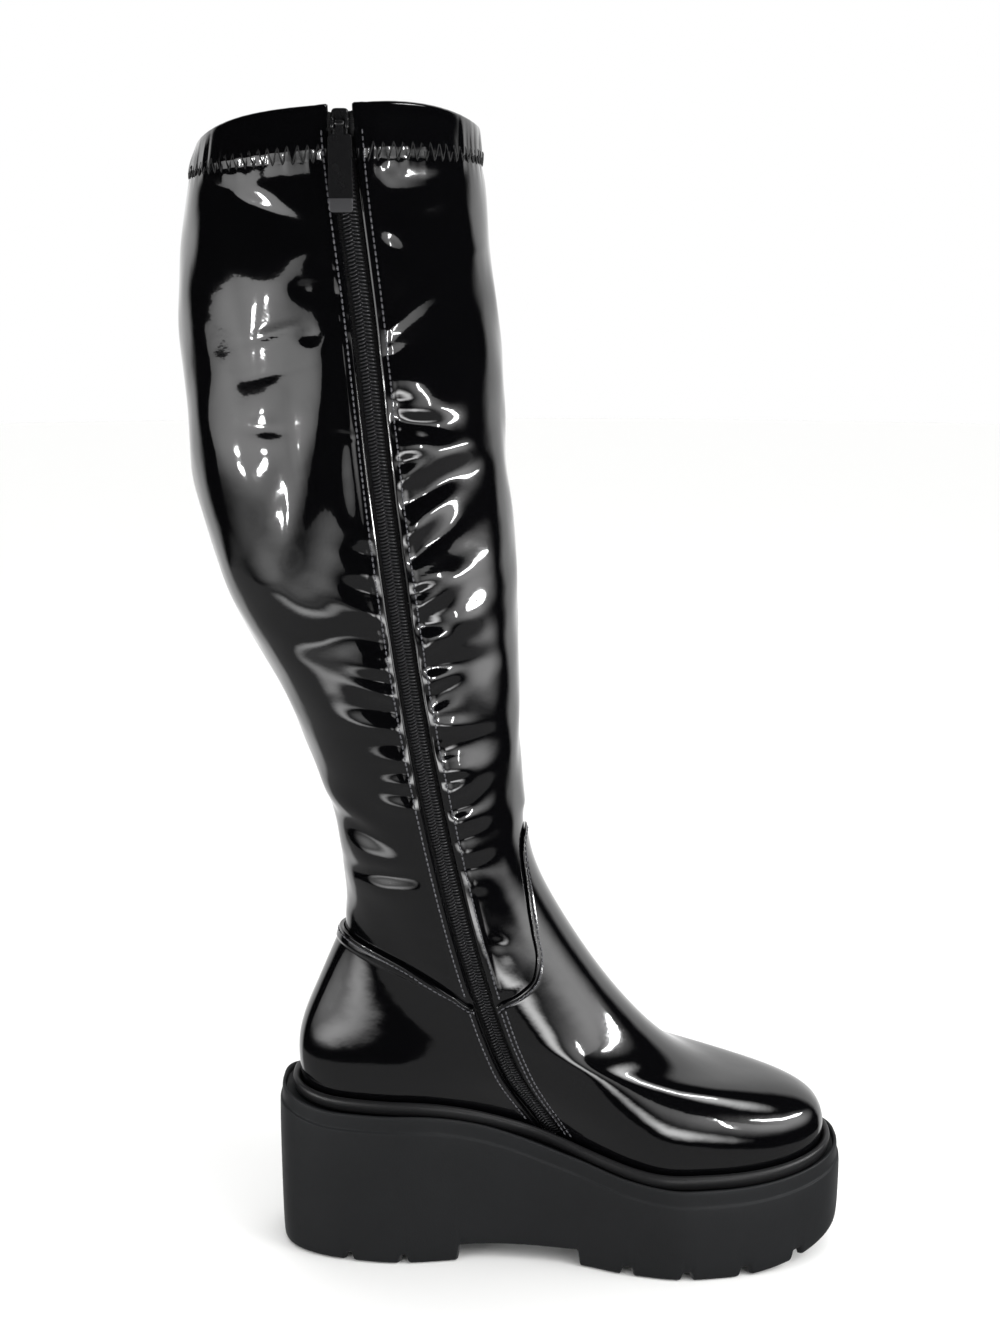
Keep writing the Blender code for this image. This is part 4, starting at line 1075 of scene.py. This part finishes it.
# Woven polyester: dull black, with fine ribs across the tape whose crowns are painted greyer as a sheen
tape_cloth, tree, shader, place = new_material(
    "woven_polyester_rib_sheen", {"Base Color": linear("#0d0d0e"), "Roughness": 0.8}
)
bands = {"bands_direction": "Z", "Scale": WAVE_LENGTH / (RIB_PITCH * MM), "Distortion": 1.2}
ribs = add_node(tree, "TexWave", bands, {"Vector": place}).outputs["Fac"]
relief = add_node(tree, "Bump", {"Strength": 0.8, "Distance": RIB_DEPTH * MM}, {"Height": ribs})
tree.links.new(relief.outputs["Normal"], shader.inputs["Normal"])
# Lighter colour on the rib crowns: painted sheen
blacks = {"data_type": "RGBA", MIX_DARK: linear("#080809"), MIX_LIGHT: linear("#151516")}
tone = add_node(tree, "Mix", blacks, {"Factor": ribs})
tree.links.new(tone.outputs[MIX_RESULT], shader.inputs["Base Color"])

points = tape_shell()
faces = grid_faces(len(points), TAPE_COLUMNS, close_rows=True)
ends = np.arange(TAPE_ROWS - 1)
for column in (0, TAPE_COLUMNS - 1):
    rungs = np.stack([ends, ends + 1, 2 * TAPE_ROWS - 2 - ends, 2 * TAPE_ROWS - 1 - ends], axis=-1)
    faces += (rungs * TAPE_COLUMNS + column).tolist()
end_level = zip_levels(TAPE_END_Z, 2)[-1:]
end_turn = zip_turns(end_level, np.array([TAPE_END_ASIDE, -TAPE_END_ASIDE]))
end_places, end_out, _ = skin_frame(end_level[:, None], end_turn)
end_middles = (end_places - TAPE_END_DEPTH * end_out)[0]
turned_ends = [cushion(middle, TAPE_END_HALF, TAPE_END_SQUARE) for middle in end_middles]
end_points, end_faces = joined(turned_ends, start=points[..., 0].size)
points = np.concatenate([points.reshape(-1, 3), end_points])
tape = make_piece("zip_tapes", points, faces + end_faces, [tape_cloth], sharp=50.0)
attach(tape, "boot")
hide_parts("zip_tape")

# Zip chain
# Two coils of nylon monofilament, one sewn on each tape and closed into each other. Their loops show as
# slanted bars in two columns, like a plait.
CHAIN_PITCH = 1.5
CHAIN_TOP_Z, CHAIN_SAMPLES = 510.2, 1600
CHAIN_LIFT = GAP - TAPE_DEPTH
Loop = namedtuple("Loop", "across along height radius")
CHAIN_LOOP = (
    Loop(3.15, -0.25, 0.35, 0.30),
    Loop(2.75, -0.15, 1.25, 0.40),
    Loop(1.70, 0.10, 1.62, 0.43),
    Loop(0.65, 0.42, 1.58, 0.41),
    Loop(-0.25, 0.72, 0.95, 0.34),
)
BAR_SIDES = 6


def bars(centres, out, radius):
    """Round bars (bar by station) along their centre lines: each station is a ring of six points, made from
    the direction out of the surface and the one across the bar. Returns points and faces."""
    along = np.gradient(centres, axis=1)
    side = unit(np.cross(along, out))
    rise = unit(np.cross(side, along))
    angle = 2.0 * np.pi * np.arange(BAR_SIDES) / BAR_SIDES
    ring = side[:, :, None] * np.cos(angle)[:, None] + rise[:, :, None] * np.sin(angle)[:, None]
    points = centres[:, :, None] + radius[None, :, None, None] * ring
    count, stations = centres.shape[:2]
    one = np.array(grid_faces(stations, BAR_SIDES, close_columns=True))
    ends = np.array([range(BAR_SIDES), range((stations - 1) * BAR_SIDES, stations * BAR_SIDES)])
    first = (np.arange(count) * stations * BAR_SIDES)[:, None, None]
    return points, (one + first).reshape(-1, 4).tolist() + (ends + first).reshape(-1, BAR_SIDES).tolist()


def at_lengths(at, path, rows):
    """Rows that belong to a path's points, interpolated at given lengths along the path."""
    run = run_along(path)
    return np.stack([np.interp(at, run, column) for column in rows.T], axis=-1)


def zip_path(top_z, pitch):
    """Places at an even pitch up the zip's middle line, with the directions along it and out of the skin."""
    level = zip_levels(top_z, CHAIN_SAMPLES)
    points, normal, _ = skin_frame(level, zip_turns(level, np.zeros(1))[:, 0])
    at = np.arange(pitch / 2.0, run_along(points)[-1], pitch)
    place = at_lengths(at, points, points)
    return place, unit(np.gradient(place, axis=0)), unit(at_lengths(at, points, normal))


# Nylon: black monofilament, smooth with a dull shine on each loop's crown
nylon, *_ = new_material(
    "nylon_coil",
    {"Base Color": linear("#212123"), "Roughness": 0.3, "IOR": 1.53},
    [Patch(3.0, 2.0, 0.22, 0.4)],
)

place, along, out = zip_path(CHAIN_TOP_Z, CHAIN_PITCH)
across = np.cross(along, out)
loop = np.array(CHAIN_LOOP)
centres = []
for side in (-1.0, 1.0):
    slide = (loop[:, 1] + side * CHAIN_PITCH / 4.0)[:, None]
    sideways = side * loop[:, :1] * across[:, None]
    outward = (CHAIN_LIFT + loop[:, 2:3]) * out[:, None]
    centres.append(place[:, None] + sideways + slide * along[:, None] + outward)
points, faces = bars(np.concatenate(centres), np.concatenate([out, out])[:, None], loop[:, 3])
chain = make_piece("zip_chain", points, faces, [nylon])
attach(chain, "boot")
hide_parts("zip_coil")

# Zip slider
# A die-cast zinc body round both tapes at the top of the chain, enamelled black. Two ears on its face hold
# the tab's barrel.
SLIDER_Z, SLIDER_LENGTH, SLIDER_DEPTH = 516.5, 12.0, 4.0
SLIDER_FOOT, SLIDER_HEAD, SLIDER_SQUARE = 3.0, 3.7, 5.0
EAR_WIDTH, EAR_LENGTH, EAR_HEIGHT, EAR_ROOT, EAR_SQUARE = 1.6, 4.4, 3.4, 0.8, 3.5
BARREL_RADIUS, BARREL_LENGTH = 1.2, 3.6

# Black enamel on zinc: a stoved paint, glossy on flat faces and duller where fingers rub it
enamel, *_ = new_material(
    "stoved_enamel",
    {"Base Color": linear("#131314"), "Roughness": 0.22, "Coat Weight": 0.3, "Coat Roughness": 0.1},
    [Patch(5.0, 3.0, 0.16, 0.34)],
    [Grain(0.8, 1.0, 0.04, 0.3)],
)

seat_level = zip_levels(SLIDER_Z, 2)[-1:]
seat, seat_out, _ = skin_frame(seat_level, zip_turns(seat_level, np.zeros(1))[:, 0])
slider_x, slider_back = (seat + CHAIN_LIFT * seat_out)[0, :2]
slider_face = slider_back - SLIDER_DEPTH
body_middle = (slider_x, (slider_back + slider_face) / 2.0, SLIDER_Z)
flare = (SLIDER_HEAD - SLIDER_FOOT) / (SLIDER_HEAD + SLIDER_FOOT)
body_half = ((SLIDER_HEAD + SLIDER_FOOT) / 2.0, SLIDER_DEPTH / 2.0, SLIDER_LENGTH / 2.0)
blocks = [cushion(body_middle, body_half, SLIDER_SQUARE, flare)]
ear_aside = BARREL_LENGTH / 2.0 + GAP + EAR_WIDTH / 2.0
ear_y = slider_face - EAR_HEIGHT / 2.0 + EAR_ROOT
ear_half = (EAR_WIDTH / 2.0, EAR_HEIGHT / 2.0, EAR_LENGTH / 2.0)
for side in (-1.0, 1.0):
    blocks.append(cushion((slider_x + side * ear_aside, ear_y, SLIDER_Z), ear_half, EAR_SQUARE))
points, faces = joined(blocks)
slider = make_piece("slider_casting", points, faces, [enamel])
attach(slider, "boot")
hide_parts("zip_slider")

# Pull tab
# A flat tab of cast zinc, enamelled like the slider, that swings on a barrel between the slider's ears. Its
# lower end is thinned for the fingers.
PULL_WIDTH, PULL_LENGTH, PULL_THICK, PULL_DROP, PULL_SQUARE = 9.6, 30.0, 1.6, 4.0, 12.0
NECK_WIDTH, NECK_LENGTH, NECK_INSET, NECK_SQUARE = 3.2, 7.0, 0.1, 5.0
THIN_LENGTH, THIN_DEPTH, THIN_CREASE = 5.6, 0.9, 0.012
BARREL_ENDS = 1.6
# How far behind the hinge's plane the slant's grey painted highlight reaches
HIGHLIGHT_PAST = 0.1
hinge = np.array([slider_x, slider_face - BARREL_RADIUS - GAP, SLIDER_Z])


def tab_block():
    """The tab's rounded plate below the hinge, its front face cut back in a straight slant over its lower
    end. Two rows close together keep the slant's upper edge crisp."""
    middle = hinge + (0.0, 0.0, -PULL_DROP - PULL_LENGTH / 2.0)
    crease = 2.0 * THIN_LENGTH / PULL_LENGTH - 1.0 + np.array([0.0, THIN_CREASE])
    half = (PULL_WIDTH / 2.0, PULL_THICK / 2.0, PULL_LENGTH / 2.0)
    plate = cushion(middle, half, PULL_SQUARE, extra=crease)
    from_end = plate[..., 2] - (middle[2] - PULL_LENGTH / 2.0)
    slant = THIN_DEPTH * np.clip(1.0 - from_end / THIN_LENGTH, 0.0, 1.0)
    plate[..., 1] += np.where(plate[..., 1] < middle[1], slant, 0.0)
    return plate


def neck_block():
    """The narrow neck between the tab and its barrel."""
    half = (NECK_WIDTH / 2.0, PULL_THICK / 2.0 - NECK_INSET, NECK_LENGTH / 2.0)
    return cushion(hinge + (0.0, 0.0, -NECK_LENGTH / 2.0), half, NECK_SQUARE)


def barrel_block():
    """A short round bar along the hinge: an ellipsoid stretched and clipped at both ends."""
    bar = cushion((0.0, 0.0, 0.0), (BARREL_RADIUS, BARREL_RADIUS, BARREL_LENGTH / 2.0), 2.0)
    along = np.clip(bar[..., 2] * BARREL_ENDS, -BARREL_LENGTH / 2.0, BARREL_LENGTH / 2.0)
    return hinge + np.stack([along, bar[..., 1], bar[..., 0]], axis=-1)


# Painted highlight: satin grey metal on the front of the tab's slant, for the light the slanted end catches
slant_painted_highlight, *_ = new_material(
    "slant_painted_highlight",
    {"Base Color": linear("#414143"), "Roughness": 0.4, "Metallic": 0.4},
    [Patch(2.0, 2.0, 0.3, 0.5)],
)

points, faces = joined([tab_block(), neck_block(), barrel_block()])
centre = points[np.array(faces)].mean(axis=1)
slant_top = hinge[2] - PULL_DROP - PULL_LENGTH + THIN_LENGTH
# Faces on the slant's front, which take the grey painted highlight
painted_highlight_faces = (centre[:, 2] < slant_top) & (centre[:, 1] < hinge[1] + HIGHLIGHT_PAST)
pull = make_piece("pull_tab", points, faces, [enamel, slant_painted_highlight], sharp=25.0, finish=painted_highlight_faces)
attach(pull, "pull")
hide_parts("zip_pull")

# Thread
# Bonded polyester thread: lockstitch rows on the flanges of the zip and on the panels' edges, and a zig-zag
# of softer yarn that holds the hem. Each stitch lies on the patent and dips into its holes.
STITCH_PITCH, STITCH_LENGTH = 2.6, 2.0
STITCH_RADIUS = np.array([0.18, 0.34, 0.38, 0.34, 0.18])
STITCH_SHARES = np.array([0.0, 0.15, 0.5, 0.85, 1.0])
STITCH_HEIGHTS = np.array([-0.20, 0.08, 0.16, 0.08, -0.20])
STITCH_TOP_Z, STITCH_SAMPLES = 515.0, 1100
# Rows along the zip, by their distance ahead of its middle: on the shaft, and on the panels of the foot
SHAFT_ROWS = (-SLIT_HALF - 2.9, SLIT_HALF + 3.2)
FOOT_ROWS = (
    (above_counter, -SLIT_HALF - 2.9),
    (behind_vamp, SLIT_HALF + 2.4),
    (behind_vamp, SLIT_HALF + 4.5),
)
SHAFT_CLEAR, FOOT_CLEAR, WELT_CLEAR = 3.0, 1.5, 9.0
HEM_ZIGZAG = (23.88, 24.26)
ZIGZAG_PITCH, ZIGZAG_SAMPLES, ZIGZAG_CLEAR = 4.2, 2000, 3.0
TWIST_PITCH, TWIST_DEPTH = 0.7, 0.1


def stitch_row(path, normal):
    """Start and end points and normals of running stitches at an even pitch along a path."""
    at = np.arange(STITCH_PITCH / 2.0, run_along(path)[-1] - STITCH_PITCH / 2.0, STITCH_PITCH)
    start, end = (at_lengths(at + side * STITCH_LENGTH / 2.0, path, path) for side in (-1.0, 1.0))
    return start, end, unit(at_lengths(at, path, normal))


def on_skin(level, turn):
    """Points of the finished skin, with its dents and flanges, and the normals of the smooth form below."""
    points, normal, _ = skin_frame(level, turn)
    return points + skin_lift(level, turn, points)[..., None] * normal, normal


def inside_edge(face, normal):
    """The line on a panel's face that lies at the stitches' distance inside its free edge."""
    from_edge = distance_to(face, face[-1])
    rows = len(face) - 1 - np.clip((from_edge[::-1] < STITCH_IN).sum(axis=0), 1, len(face) - 1)
    columns = np.arange(face.shape[1])
    return face[rows, columns], normal[rows, columns]


# Bonded thread: black filament with a waxy shine, painted grey as a highlight so each stitch shows as a grey
# dash
thread, tree, shader, place = new_material(
    "bonded_thread_painted_sheen", {"Base Color": linear("#4c4c50"), "Roughness": 0.35}
)
bands = {"bands_direction": "DIAGONAL", "Scale": WAVE_LENGTH / (TWIST_PITCH * MM)}
twist = add_node(tree, "TexWave", bands, {"Vector": place}).outputs["Fac"]
relief = add_node(tree, "Bump", {"Strength": 0.5, "Distance": TWIST_DEPTH * MM}, {"Height": twist})
tree.links.new(relief.outputs["Normal"], shader.inputs["Normal"])

# Soft thread: bulked black yarn for the stretching hem, dull and dark
dull_thread, *_ = new_material(
    "bulked_thread", {"Base Color": linear("#131314"), "Roughness": 0.6}, [Patch(0.5, 2.0, 0.45, 0.7)]
)

rows = []
zip_level = zip_levels(STITCH_TOP_Z, STITCH_SAMPLES)
for ahead in SHAFT_ROWS:
    path, normal = on_skin(zip_level, zip_turns(zip_level, np.array([ahead]))[:, 0])
    bare = np.minimum(above_counter(path), behind_vamp(path)) > SHAFT_CLEAR
    rows.append(stitch_row(path[bare], normal[bare]))
for beyond_edge, ahead in FOOT_ROWS:
    path, normal, _ = skin_frame(zip_level, zip_turns(zip_level, np.array([ahead]))[:, 0])
    covered = (beyond_edge(path) < -FOOT_CLEAR) & (path[:, 2] - shelf_height(path[:, 0]) > WELT_CLEAR)
    rows.append(stitch_row((path + (GAP + OVERLAY) * normal)[covered], normal[covered]))
for face, normal in panel_faces.values():
    path, out = inside_edge(face, normal)
    rows.append(stitch_row(path[2:-2], out[2:-2]))
hem_aside = np.array([-SLIT_HALF - ZIGZAG_CLEAR, SLIT_HALF + ZIGZAG_CLEAR])
hem_ends = zip_turns(np.array([HEM_LEVEL]), hem_aside)[0] + (0.0, 1.0)
hem_turn = np.linspace(*hem_ends, ZIGZAG_SAMPLES)
hem_run = run_along(ring_points(np.full_like(hem_turn, HEM_LEVEL), hem_turn))
corner_turn = np.interp(np.arange(0.0, hem_run[-1], ZIGZAG_PITCH / 2.0), hem_run, hem_turn)
corner_level = np.where(np.arange(len(corner_turn)) % 2 == 0, *HEM_ZIGZAG)
corners, out = on_skin(corner_level, corner_turn)
hem_rows = [(corners[:-1], corners[1:], unit(out[:-1] + out[1:]))]
for name, sewn, yarn in (("stitches", rows, thread), ("hem_zigzag", hem_rows, dull_thread)):
    starts, ends, outs = (np.concatenate(part) for part in zip(*sewn))
    centres = starts[:, None] + (ends - starts)[:, None] * STITCH_SHARES[:, None]
    centres += STITCH_HEIGHTS[:, None] * outs[:, None]
    points, faces = bars(centres, outs[:, None], STITCH_RADIUS)
    stitches = make_piece(name, points, faces, [yarn])
    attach(stitches, "boot")
